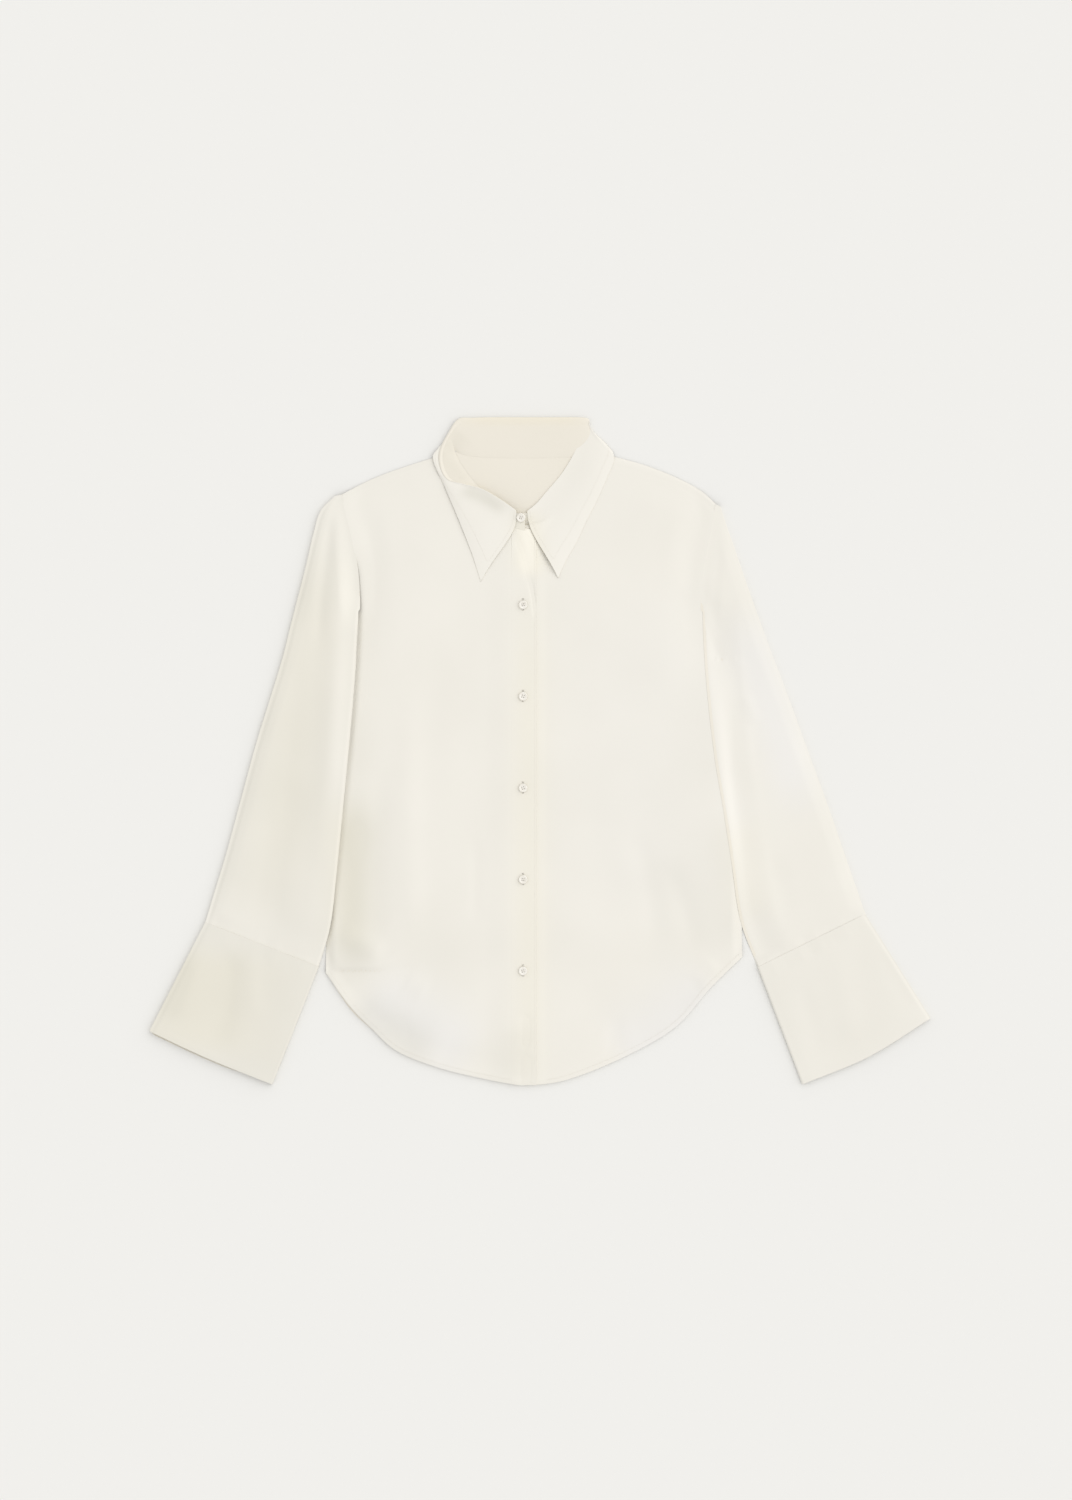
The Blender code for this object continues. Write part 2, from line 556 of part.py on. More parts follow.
def collar_leaf(finish, turn_points=5, leaf_points=8):
    table = spread(COLLAR, COLLAR_SECTIONS)
    seam, fold, rise, out = collar_sections(table)
    height = np.linalg.norm(fold - seam, axis=1, keepdims=True)
    start = seam + rise * (STAND_SHARE * height + SEAM)
    centre = fold - rise * FOLD_RADIUS + out * FOLD_RADIUS
    columns = [start]
    for angle in np.linspace(0.0, np.pi, turn_points):
        columns.append(centre - out * FOLD_RADIUS * np.cos(angle) + rise * FOLD_RADIUS * np.sin(angle))
    turned = columns[-1]
    edge_xy = table[:, 3:5]
    edge = np.concatenate([edge_xy, resting(edge_xy[:, 0], edge_xy[:, 1])[:, None]], axis=1)
    reach = np.linalg.norm(edge - turned, axis=1, keepdims=True)
    first = turned - rise * LEAF_DROP * reach
    second = edge + LEAF_FLAT * (turned - edge) * np.array([1.0, 1.0, 0.15])
    second[:, 2] += table[:, 5]
    for t in np.linspace(0.0, 1.0, leaf_points + 1)[1:]:
        columns.append((1 - t) ** 3 * turned + 3 * (1 - t) ** 2 * t * first
                       + 3 * (1 - t) * t**2 * second + t**3 * edge)
    middle = np.stack(columns, axis=1)
    leaf = middle[:, turn_points + 1:]
    leaf[..., 2] = np.maximum(leaf[..., 2], resting(leaf[..., 0], leaf[..., 1]))
    return wall("collar_leaf", *thickened(middle), finish)


def button(name, x, y, z, finish, tilt=0.0, sides=24):
    """A disc with a softened rim, whose underside is at z."""
    angle = np.linspace(0.0, 2.0 * np.pi, sides, endpoint=False)
    radius = BUTTON_DIAMETER / 2
    levels = ((radius - BUTTON_RIM, 0.0), (radius, BUTTON_RIM), (radius, BUTTON_HEIGHT - BUTTON_RIM),
              (radius - BUTTON_RIM, BUTTON_HEIGHT))
    points = []
    for reach, height in levels:
        for a in angle:
            v, w = reach * np.sin(a), height
            points.append((x + reach * np.cos(a), y + v * np.cos(tilt) - w * np.sin(tilt),
                           z + v * np.sin(tilt) + w * np.cos(tilt)))
    faces = [tuple(range(sides)), tuple(3 * sides + k for k in range(sides))]
    for level in range(3):
        for k in range(sides):
            a, b = level * sides + k, level * sides + (k + 1) % sides
            faces.append((a, b, b + sides, a + sides))
    return solid(name, points, faces, finish)


def band_top(y):
    """Highest point of the band under a button."""
    span = np.linspace(-BUTTON_DIAMETER / 2, BUTTON_DIAMETER / 2, 7)
    x, y = np.meshgrid(BUTTON_X + span, y + span)
    return float(band_under(x, y).max()) + FIRM_CLOTH


def neck_button(finish):
    """The button on the end of the collar stand, lying along its slope."""
    seam, _, rise, _ = collar_sections(stand_table())
    slope = rise[-2]
    tilt = float(np.arctan2(slope[2], slope[1]))
    middle = seam[-2] + slope * (NECK_BUTTON_Y - seam[-2][1]) / slope[1]
    clear = FIRM_CLOTH / 2 + SEAM + 0.15
    y = NECK_BUTTON_Y - clear * np.sin(tilt)
    return button("button_neck", NECK_BUTTON_X, y, middle[2] + clear * np.cos(tilt), finish, tilt)


def build():
    for old in list(bpy.data.objects):
        bpy.data.objects.remove(old)
    silk = material("cream_silk", (0.870, 0.840, 0.760), 0.50)
    pearl = material("pearl_button", (0.780, 0.740, 0.650), 0.25)

    panel("back", back_grid(), lambda x, y: np.zeros_like(x), CLOTH, silk)
    panel("front_right", front_grid(BAND_LEFT - SEAM, -1), front_right_under, CLOTH, silk)
    panel("front_left", front_grid(BAND_LEFT + 1.0, 1), front_left_under, CLOTH, silk)
    panel("front_band", band_grid(), band_under, FIRM_CLOTH, silk)
    collar_stand(silk)
    collar_leaf(silk)
    for name, side in (("right", -1), ("left", 1)):
        sleeve(f"sleeve_{name}", side, silk)
        cuff(f"cuff_{name}", side, silk)
    neck_button(pearl)
    for number in range(BUTTON_COUNT):
        y = FIRST_BUTTON_Y - number * BUTTON_SPACING
        button(f"button_{number + 1}", BUTTON_X, y, band_top(y) + SEAM, pearl)


build()
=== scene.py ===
"""Looks of a cream silk blouse laid out flat on its back: shells of silk with their creases, the
sewing, the pearl buttons, a pale floor and soft studio light.

Sizes are in millimetres and are scaled to metres when a mesh is made. X runs to the wearer's left,
Y towards the collar and Z up from the floor, as in the frame.
"""

import bpy
import numpy as np
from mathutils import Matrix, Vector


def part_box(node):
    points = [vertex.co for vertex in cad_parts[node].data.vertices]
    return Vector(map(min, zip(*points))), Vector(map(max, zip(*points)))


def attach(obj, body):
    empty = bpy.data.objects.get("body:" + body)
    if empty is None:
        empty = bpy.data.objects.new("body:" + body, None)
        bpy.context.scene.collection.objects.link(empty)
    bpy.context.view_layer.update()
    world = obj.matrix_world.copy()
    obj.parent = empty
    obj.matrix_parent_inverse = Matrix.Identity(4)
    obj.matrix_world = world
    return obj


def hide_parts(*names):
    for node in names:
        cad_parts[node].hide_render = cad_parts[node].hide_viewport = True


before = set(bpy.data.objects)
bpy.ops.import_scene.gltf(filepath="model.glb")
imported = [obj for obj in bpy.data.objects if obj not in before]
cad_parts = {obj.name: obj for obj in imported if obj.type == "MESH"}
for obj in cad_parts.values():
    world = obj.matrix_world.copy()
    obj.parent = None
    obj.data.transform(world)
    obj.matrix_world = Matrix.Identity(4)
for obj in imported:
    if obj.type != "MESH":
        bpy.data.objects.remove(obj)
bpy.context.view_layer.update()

MM = 0.001

# Cloth. A level is the height of an upper face.
WALL = 1.0  # thickness that the frame gives each layer
SEAM = 0.3
SILK = 0.2  # a single layer
FIRM_SILK = 0.8  # interfaced band and cuffs
COLLAR_SILK = 0.55
EDGE_BULGE = 0.35  # a shell's edge turns out by this share of its thickness
FRONT_LEVEL = 2.0 * WALL + SEAM
SEWN_LEVEL = 1.15  # a front where it is sewn to the back
ARMHOLE_LEVEL = 2.3
ARMHOLE_GAIN = 1.7  # the armhole stands this much higher at the shoulder
ARMHOLE_CLIMBS_FROM = (195.0, 130.0)
ARMHOLE_RUN = 60.0
HEM_WIDTH = 5.5
HEM_ROLL = 0.35
HEM_ROLL_RUN = (1.2, 1.4)

# Button band and buttons, from the frame.
BAND_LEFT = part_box("front_band")[0].x / MM
BAND_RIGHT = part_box("front_band")[1].x / MM
BAND_RAMP = 30.0
BUTTON_NODES = ("button_1", "button_2", "button_3", "button_4", "button_5")
NECK_BUTTON_TILT = np.radians(8.0)
NECK_BUTTON_LEVEL = 6.9

# Outline of the body, with its corners at the side seams. Columns: x, y.
HEM = (
    (-239.7, -249.5), (-213, -286.5), (-188, -312), (-160, -337), (-112, -356),
    (-60, -368.5), (-16, -375), (30, -369), (97, -342), (152, -309.5),
    (190, -267), (226.2, -231.5),
)
# Armholes, from the underarm up to the shoulder. The first three points lie under the sleeve.
ARMHOLE_RIGHT = ((-236.5, 65), (-222, 104), (-208, 134), (-202.7, 157),
                 (-203.5, 185), (-206.5, 213), (-213, 246), (-222.9, 285.5))
ARMHOLE_LEFT = ((223.5, 67), (204, 104), (188, 134), (181.4, 155),
                (181.4, 180), (184.5, 208), (190.4, 238), (197.5, 274.5))
HIDDEN_POINTS = 3
# Shoulders, from the armhole to the neck.
SHOULDER_RIGHT = (ARMHOLE_RIGHT[-1], (-192, 301.5), (-161.5, 313.5), (-117, 328),
                  (-97, 334))
SHOULDER_LEFT = (ARMHOLE_LEFT[-1], (178, 291.5), (148, 307), (112, 320.5), (70, 331.5))
# Neck edges, from the shoulder to the centre front, and across the back.
NECK_RIGHT = (SHOULDER_RIGHT[-1], (-91, 320), (-78, 302), (-63, 285), (-47, 267.5),
              (-32.3, 250))
NECK_LEFT = (SHOULDER_LEFT[-1], (64, 318), (51, 297), (33, 277.5), (13, 261.5),
             (-4, 253.5), (-31, 251))
NECK_BAND = ((-32, 249.5), (-18, 244.5), (-4, 243.5))
NECK_BACK = (SHOULDER_LEFT[-1], (52, 328.5), (24, 326.5), (-18, 325.5), (-60, 326.5),
             (-84, 329), SHOULDER_RIGHT[-1])

# Sleeves. The inner line runs down the fold that lies on the front, the outer line from the
# shoulder down the outer fold. Both end at the cuff.
SLEEVE_RIGHT_INNER = ((-204.5, 120), (-207, 75), (-212.5, 10), (-219.5, -62),
                      (-227, -138), (-234, -196), (-247.5, -243.5))
SLEEVE_RIGHT_OUTER = ((-229.5, 284), (-245.5, 267), (-253.5, 241), (-262, 204.5),
                      (-276, 150), (-288, 102.5), (-302.5, 55), (-317.5, 6.5),
                      (-334, -54), (-350, -113), (-363, -156), (-374.5, -193.5))
SLEEVE_LEFT_INNER = ((182.5, 118), (186.5, 62), (194.5, -8), (204.5, -68),
                     (213.5, -126), (223.5, -190), (243.5, -244))
SLEEVE_LEFT_OUTER = ((201.5, 272.5), (208, 252), (217.5, 225), (234.5, 175.5),
                     (256.5, 114.5), (277, 60.5), (301, -5.5), (325, -71.5),
                     (343.5, -125.5), (364, -184.5))
FOLD_RISE = 100.0  # the inner fold comes up from the armhole over this length
# Upper face of the right and the left sleeve above what it lies on.
SLEEVE_FULL = (4.2, 3.0)
OUTER_GAIN = (1.2, 1.2)  # it stands this much fuller towards the outer edge
GAIN_RUN = 60.0
EDGE_TOP = (4.7, 4.0)  # height of the outer edge
EDGE_WIDTH = (3.4, 0.3)  # the edge is pressed for this width, then steps up
EDGE_STEP = (2.4, 4.0)
SLEEVE_LIFT = 1.3
LOOSE_RUN = 16.0  # a sleeve is loose from this far in
LOOSE_LEAST = -1.2
CUFF_SEAM_DIP = 0.2
CUFF_SEAM_RUN = 16.0
CUFF_SEAM_NEAR = (1.0, 13.0)
UNDERARM_RUN = 20.0
ARMHOLE_SHIFT = 1.8  # the upper layer goes this far under the front
SHIFT_RUN = 3.0
SEWN_SHIFT = 0.4  # a sleeve stands this far off the body
PRESSED = (0.5, 0.42)  # both layers together where an edge is pressed flat
ARMHOLE_TUCK = (0.3, 0.06)  # a sleeve's upper face goes this far under the front's
SHOULDER_TUCK = 0.06
TUCK_FROM, TUCK_RUN = 160.0, 25.0
ARMHOLE_CLIMB = 60.0
CUFF_CLIMB = 50.0
# A sleeve lies on the front from this far above the cuff to this far above the underarm.
ABOVE_CUFF, PAST_UNDERARM = 4.0, 2.0
ROLL_RADIUS = (1.5, 6.0)  # the inner fold of a sleeve
FOLD_EDGE = (0.5, 0.1)  # both layers together at the fold itself
FOLD_GAP = (0.1, -0.33)
FLAT_UNDER_FOLD = 3.5  # a front is even for this far under a sleeve's fold
FLAT_RUN = (22.0, 0.0)  # the right and the left sleeve lie flat for this far past the fold
BRIDGE = 50.0  # a sleeve comes down from the front to the floor over this distance
CREST = (0.0, 1.2)  # how far the right and the left sleeve fall just beyond the inner fold
CREST_RUN = 16.0
# Where the right and the left sleeve become full, counted from the inner fold: from, over.
RISE = ((-4, 7), (10, 34))
SHOULDER_RUN, HIP_RUN = 30.0, 20.0
PAST_SEAM_RUN = 20.0  # past the side seam a sleeve no longer lies on the front
CORNER_SOFTNESS = 0.16
SEWN_FULLNESS = (-0.5, 24.0)  # beside the armhole a sleeve becomes full: from, over
ABOVE_UNDERARM = (25.0, 50.0)
NEAR_FOLD = 0.6
EDGE_ROUND = (0.94, 0.9)  # share of the edge's height right outside, and how far in it is full
TUBE_INSIDE = 0.05  # the two layers stay this far apart
# Distances in from an edge at which a tube has a row of points.
EDGE_STEPS = (0.0, 0.35, 0.9, 1.6, 2.4, 3.3, 4.4, 6.0, 8.2, 11.0)
EDGE_SHARE = 0.42  # on a narrow tube they take up this share of the width

# Cuffs: the two corners of the opening, inner then outer, and how far the opening bows out.
CUFF_RIGHT = ((-299.5, -374), (-437, -314.5), 2)
CUFF_LEFT = ((293.5, -374), (437, -300), 6.5)
CUFF_FULL = (5.8, 4.4)  # the right and the left cuff's upper face
CUFF_EDGE = (5.0, 3.4)
CUFF_LIFT = 0.4
CUFF_DROP = 1.4  # the inner edge rolls down this far
CUFF_ROLL = 2.2
CUFF_UNDERLAP = 2.2
CUFF_OVERLAP = 1.3  # a cuff's upper layer laps this far over the sleeve
CUFF_HEM = (0.22, 3.0, 2.4)  # the turned edge: height, distance in, half width
CUFF_PUFF_RUN = 14.0
UNDERLAP_LEAST = 0.25  # share of the underlap at the inner edge
UNDERLAP_FROM, UNDERLAP_RUN = 0.18, 0.25  # shares of the width
UNDERLAP_ENDS = (6.0, 8.0)
CUFF_PUCKER = 0.6  # share of a pucker's height on the cuff

# Heights of the front over the back.
FRONT_LIFT = 2.4
TAIL_LIFT = 0.7
HIP_Y = -248.0
HIP_SLOPE_RIGHT = 5.0  # the front steps down over this distance at the right hip's crease
HIP_SLOPE = 54.0
LIFT_LIMIT = 7.0
SEAM_RUN = (1.5, 26.0)  # a front comes down to its seam over a distance between these
HIP_EDGE_RUN = 11.0  # and over at least this near the hem
GROOVE = 2.2  # depth beside the right sleeve's fold
GROOVE_REACH = 2.4
GROOVE_TOP = 222.0
HEM_FOOT = 0.7
HEM_RISE = 1.5  # a front's hem stands this much higher
HEM_RISE_RUN = 26.0
HEM_CURL = 3.0
CAUGHT = 3.0  # width of the right front's edge that is caught in the band
SIDE_RUN = 46.0
HEM_RUN = 34.0
UNDERARM = ARMHOLE_RIGHT[HIDDEN_POINTS][1]
COLLAR_REACH = 95.0
COLLAR_RUN = 70.0
COLLAR_SHARE = 0.1  # share of a front's lift that is left beside the collar
SEWN_RUN = 40.0
HIP_EDGE_TOP, HIP_EDGE_FADE = -60.0, 60.0
TOP_FALL, TOP_FALL_AT_STAND = 4.0, 10.0  # a front comes down to its top seam over this distance
TOP_GROOVE = (0.45, 6.0, 1.1)  # beside the top seam: depth, distance, half width
NECK_CLEAR = 70.0  # the groove stays this far from the middle of the neck
STAND_COVERS = (14.0, 12.0)  # the right front is pressed down under the stand: from, over
STAND_PRESS = 0.5
BAND_PRESS = 0.06
GROOVE_FADE = 30.0
GROOVE_SHALLOW = 0.45  # share of the groove's depth that is left low down
GROOVE_LOW, GROOVE_LOW_RUN = -80.0, 130.0
BAND_SIDE_LIFT, BAND_SIDE_RUN, BAND_TOP_RUN = 0.8, 13.0, 20.0
TROUGH_FLOOR = 0.3  # the neck's trough goes this far below the sewn level
BAND_STITCH_IN = 2.0  # the band is sewn this far in from its edge
BAND_STITCH_DENT = (0.12, 0.9)  # depth, half width
HEM_PEEK = (-207.0, 20.0, 1.5, 1.9)  # the back's hem shows at the right hip: x, reach, out, down
BACK_CLEAR = 0.04
NECK_END_RUN = 8.0
CORNER_CLEAR = 8.0  # the hem's points nearer than this to a front's corner are left out
TUBE_CLEAR = 0.04  # a sleeve's and a cuff's lower face over what it lies on

# Creases. Columns: start x, start y, end x, end y, how far its middle bows to one side, half
# width, height. The trough ones have a height below zero.
FRONT_CREASES = (
    (-146, 60, -142, -215, -2, 15, 1.35),
    (-178, -20, -183, -225, -3, 15, -1.76),
    (-222, -205, -178, -230, 2, 13, 1.89),
    (-73, -100, -74, -190, 1.5, 7, -0.54),
    (-118, 130, -124, -40, 4, 16, -0.47),
    (106, -95, 128, -215, 6, 13, -0.94),
    (140, -130, 172, -222, 5, 12, -0.94),
    (196, 110, 208, -40, 0, 22, 0.7),
    (206, -40, 226, -215, 0, 34, 1.3),
    (60, -60, 74, -190, 5, 20, -0.68),
    (-190, 262, -192, 150, 2, 14, -0.81),
    (150, 262, 158, 170, -4, 16, 0.68),
    (-168, -300, -158, -330, 2, 14, -1.22),
    (-150, -258, -128, -272, 2, 13, 0.94),
    (84, -300, 88, -352, -2, 10, -0.94),
    (196, -238, 176, -262, 2, 13, 0.94),
)
BAND_CREASES = (
    (-28, 240, -12, 184, 3, 5, -0.6),
    (-11.5, 190, -5.5, 150, 1, 2, -1.1),
    (-16, -295, -17, -335, 1, 6, -0.8),
    (-16, -340, -16, -385, 0, 7, -1),
)
# A narrow trough under the left leaf's front edge.
NECK_TROUGH = ((-15.5, 264, 18, 194, 0, 3.2, -2.1),)
SLEEVE_RIGHT_CREASES = (
    (-222, 268, -220, 150, -2, 9, 1.08),
    (-216, 160, -226, -40, -2, 15, 1.76),
    (-230, 0, -240, -150, -1, 15, 1.08),
    (-230.5, 272, -247.5, 120, -2.5, 8, -1.76),
    (-249, 135, -258, -60, 2, 13, -0.81),
    (-296, 60, -338, -130, 3, 15, 0.68),
    (-268, -80, -284, -190, -3, 13, 0.68),
    (-300, -70, -320, -180, 4, 11, -0.54),
)
SLEEVE_LEFT_CREASES = (
    (198, 250, 193, 150, 1.5, 8, -0.54),
    (230, 60, 240, 30, 1, 7, 0.68),
    (268, 20, 306, -130, 4, 22, 0.68),
    (262, -120, 276, -195, 3, 11, -0.54),
)
CUFF_RIGHT_CREASES = (
    (-345, -228, -350, -310, 3, 11, -1.22),
    (-320, -232, -318, -300, -2, 10, 0.68),
    (-385, -235, -404, -300, 3, 9, 0.54),
)
CUFF_LEFT_CREASES = (
    (330, -232, 348, -330, 4, 14, 0.61),
    (385, -220, 420, -290, -3, 11, -0.68),
    (290, -262, 312, -340, 2, 9, -0.47),
)
# Where a sleeve is gathered a little into its cuff. Columns: share of the seam, height, half width.
PUCKERS = ((0.12, 0.45, 3), (0.23, -0.4, 2.4), (0.37, 0.6, 3.2), (0.46, -0.5, 2.6),
           (0.55, 0.5, 2.8), (0.68, -0.35, 2.2), (0.79, 0.4, 3.4), (0.9, -0.3, 2.4))
PUCKER_LENGTH = 17.0
PUCKER_BOW = 0.5
CREASE_PAST, CREASE_FADE = 0.12, 0.34  # shares of its length over which a crease fades
# Faint unevenness of loose silk. Columns: heading in degrees, wave length, phase, height.
RIPPLES = ((4, 61, 0.4, 0.07), (-17, 93, 2.1, 0.10), (71, 118, 4.4, 0.08),
           (38, 77, 1.3, 0.05), (-52, 139, 5.2, 0.09))

# Painted shade and light: places where the silk is painted a little deeper where shade falls in
# folds, hollows and beside the sleeves, or paler below zero where light catches a ridge, an edge or
# the band's top. In the same columns; the last one is a share.
FRONT_PAINTED_SHADING = (
    (-203, -60, -208, -260, 0, 24, 0.5),
    (-17, 258, -11, 195, 0, 10, -0.4),
    (-200, 40, -205, -120, 0, 24, 0.14),
    (140, -120, 190, -230, 0, 34, 0.12),
    (205, -80, 222, -220, 0, 20, 0.10),
    (-150, -195, -55, -250, 0, 40, 0.11),
    (-210, -285, -120, -340, 0, 26, 0.37),
    (-110, -330, -20, -355, 0, 22, 0.10),
    (-25, -310, -18, -370, 0, 20, 0.14),
)
# Painted highlights along the right sleeve's fold and outer edge, painted shade over its hollows.
SLEEVE_RIGHT_PAINTED_SHADING = (
    (-217, 215, -230, -60, 0, 9, -0.2),
    (-250, 230, -300, -60, 0, 40, 0.14),
    (-290, -20, -330, -180, 0, 60, 0.14),
    (-242.5, 280, -379.5, -215, 0, 2.2, -0.2),
)
# Painted highlight along the left sleeve's inner fold, and faintly over its middle.
SLEEVE_LEFT_PAINTED_SHADING = (
    (250, 60, 300, -110, 0, 34, -0.05),
    (190, 110, 226, -130, 0, 8, -0.2),
)
# Painted shade in a band under the leaf's roll.
LEAF_PAINTED_SHADING = (
    (-88, 291, -40, 268, 2, 7.5, 0.45),
)
# Painted shade on the inside of the stand at the right of the neck.
STAND_PAINTED_SHADING = (
    (-104, 336, -88, 356, 0, 12, 0.2),
    (-113, 338, -84, 294, 0, 13, 0.24),
)
# Painted shade in the right cuff's fold and over its outer side, and faintly over the left cuff.
CUFF_RIGHT_PAINTED_SHADING = (
    (-345, -225, -350, -330, 0, 14, 0.14),
    (-395, -225, -420, -300, 0, 24, 0.18),
)
CUFF_LEFT_PAINTED_SHADING = ((340, -230, 370, -330, 0, 50, 0.05),)
EVEN_TONE = 0.5
# Painted shade and light of whole pieces over the even tone: the leaf a little paler, the wearer's
# right sleeve and both cuffs deeper, the right cuff most, where less light falls.
LEAF_PAINTED_LIGHT_TONE = 0.44
SLEEVE_PAINTED_SHADE_TONE = (0.62, EVEN_TONE)  # the right and the left sleeve
CUFF_PAINTED_SHADE_TONE = (0.78, 0.58)
# Painted shade warmth: places where the silk is tinted warmer where shade falls (inside the
# collar's fold, under the right leaf, down the band, beside the folds, over the right sleeve and
# cuff), or cooler below zero where it is lit (the left side and the pale tail). In the same
# columns.
PAINTED_SHADE_WARMTH = (
    (-12, 180, -12, -380, 0, 20, 0.75),
    (-15, 266, -10, 195, 0, 17, 1.2),
    (-90, 371, 50, 371, 0, 7, 1),
    (-370, -220, -385, -340, 0, 75, 0.85),
    (-240, 220, -300, -180, 0, 45, 0.5),
    (-216, -60, -214, -230, 0, 24, 0.7),
    (-200, -275, -75, -345, 6, 40, -1),
    (90, -345, 195, -265, 0, 42, -1),
    (225, 150, 296, -70, 0, 26, -0.9),
    (120, 180, 120, -200, 0, 90, -0.25),
    (222, -80, 240, -190, 0, 26, 0.4),
)

# Pairs for the wearer's right and left side.
HANDS = ("right", "left")
SIDES = (-1, 1)
HEM_CORNERS = (HEM[0], HEM[-1])
ARMHOLES = (ARMHOLE_RIGHT, ARMHOLE_LEFT)
SHOULDERS = (SHOULDER_RIGHT, SHOULDER_LEFT)
NECK_EDGES = (NECK_RIGHT, NECK_LEFT)
INNER_FOLDS = (SLEEVE_RIGHT_INNER, SLEEVE_LEFT_INNER)
OUTER_FOLDS = (SLEEVE_RIGHT_OUTER, SLEEVE_LEFT_OUTER)
CUFF_OPENINGS = (CUFF_RIGHT, CUFF_LEFT)
SLEEVE_CREASES = (SLEEVE_RIGHT_CREASES, SLEEVE_LEFT_CREASES)
SLEEVE_PAINTED_SHADING = (SLEEVE_RIGHT_PAINTED_SHADING, SLEEVE_LEFT_PAINTED_SHADING)
CUFF_CREASES = (CUFF_RIGHT_CREASES, CUFF_LEFT_CREASES)
CUFF_PAINTED_SHADING = (CUFF_RIGHT_PAINTED_SHADING, CUFF_LEFT_PAINTED_SHADING)
FRONT_END = (CAUGHT, 1.0)  # the fronts go this far past the band's left edge

# Collar, from the wearer's left front round the back of the neck to the right front. The seam
# column counts along the neck: 0 to 1 up the left front, 1 to 2 across the back and 2 to 3 down
# the right front. Columns: seam, fold x, y, z, free edge x, y, bulge of the leaf.
COLLAR = (
    (0.12, -14.4, 267.5, 1.8, 20.2, 192.6, 4.5),
    (0.22, -4, 276, 1.1, 29.5, 213, 3.6),
    (0.36, 8, 290, 0.7, 40.5, 232, 3),
    (0.52, 24, 309, 0.6, 52.5, 257.5, 3),
    (0.70, 37, 330, 0.6, 65, 282, 3),
    (0.86, 46, 349, 0.8, 75.5, 306, 2.5),
    (1.00, 53, 364, 1.6, 83, 326, 1.5),
    (1.09, 54.5, 370.5, 3.4, 76, 340, 0),
    (1.20, 44, 372, 4.6, 58, 339, 0),
    (1.35, 18, 372, 4.8, 24, 336, 0),
    (1.50, -16, 372, 4.8, -17, 335.5, 0),
    (1.65, -50, 372, 4.9, -58, 336, 0),
    (1.80, -76, 371.5, 5, -90, 338.5, 0),
    (1.92, -91.5, 370, 5.4, -108.5, 339, 0),
    (2.00, -102, 355, 5.4, -119, 331.5, 1),
    (2.10, -112, 335, 5.5, -119, 322.5, 1.5),
    (2.20, -111.5, 317, 5.5, -114.5, 311, 2),
    (2.30, -103.5, 303, 5.6, -108.5, 299, 2.5),
    (2.42, -87, 298, 5.8, -99, 277, 3),
    (2.56, -65, 292, 6, -87, 248, 3),
    (2.72, -45.5, 281, 6.4, -75.5, 218, 2.5),
    (2.86, -27, 268, 6.8, -66.2, 188.5, 0.8),
)
STAND_LEFT_END = (0.03, -28.0, 268.0, 1.8)  # columns: seam, fold x, y, z
STAND_RIGHT_END = (2.905, -17.0, 266.0, 7.2)
COLLAR_SECTIONS = 240
TURN_POINTS = 12  # points round the fold
STAND_SHARE = 0.84
STAND_FOOT = 0.32
STAND_EDGE = 0.14  # the stand is thinner along the seam
UNDER_STAND = 3.5  # the back and the band reach this far under the stand
STAND_LEAN = 1.2
# Stretches along the neck seam. Columns: start, its run, end, its run.
ROUND_STRETCH = (1.0, 0.15, 2.3, 0.2)
LEAN_STRETCH = (1.9, 0.2, 2.7, 0.2)
SIDE_STRETCH = (1.8, 0.15, 2.3, 0.12)
FRONT_STRETCH = (2.25, 0.1, 2.86, 0.35)
SIDE_FLOAT = 1.2  # the leaf's free edge stands off the right shoulder
FRONT_FLOAT = 1.0  # and off the right front, less towards its point
UNDER_JOINT = 0.3  # the leaf starts this far behind the stand's top edge
NEAR_BAND, BAND_STEP = 2.5, 0.1
FOLD_RADIUS = 0.3
FOLD_ROUNDER = 1.6  # the fold is rounder by this much at the back and the right shoulder
LEAF_DROP = 0.3
LEAF_FLAT = 0.45
NECK_AIM = (-18.0, 420.0)
TABLE_TO_BODY = 6.0
BAND_NEAR = (34.0, 26.0, 25.0)  # the collar rises to the band: before it, after it, over
NECK_CLIMB = 12.0  # the leaves come up from the neck opening over this distance
OFF_EDGE = 2.0  # the collar has its full height this far from the body's edge
JOINT_STEPS = (-2.0, 0.4)  # rows of the leaf below and above its joint with the stand
END_SECTIONS = 12
SEAM_INSIDE = 1.3  # the stand starts this far inside the neck edge
NEAR_BAND_RUN = 0.2
LEAN_RISE = 0.3
COLLAR_CLEAR = 0.08  # the collar's wall over what it lies on
STAND_EDGE_RUN, LEAF_EDGE_RUN = 5.0, 2.5  # both are thinner near an edge
LEAF_HOLD = 0.15  # share of the fold's height that holds near the free edge

# Colours of both sides of the silk, each made a little deeper or paler by the tone, which carries
# painted shade and light. The dull side is deeper and warmer, partly its own colour and partly
# painted shade, as it shows where shade falls inside the collar and the neck.
FACE_COLOUR = (0.789, 0.773, 0.698)
REVERSE_COLOUR = (0.775, 0.742, 0.643)
# Tints of the painted shade warmth: cooler where lit, warmer where shade falls.
COOL, WARM = (1.0, 0.998, 1.06, 1.0), (1.008, 0.985, 0.955, 1.0)
PALER, DEEPER = (1.12, 1.12, 1.14), (0.88, 0.88, 0.86)
YARN_PITCH = 0.0003  # metres
PALE_THREAD, DEEP_THREAD = (0.84, 0.82, 0.76, 1.0), (0.76, 0.73, 0.65, 1.0)
# Shares and colours of the cut shell.
PEARL = ((0.3, (0.76, 0.72, 0.64, 1.0)), (0.5, (0.82, 0.785, 0.72, 1.0)),
         (0.7, (0.86, 0.84, 0.78, 1.0)))
FLOOR_COLOUR = (0.80, 0.794, 0.773, 1.0)

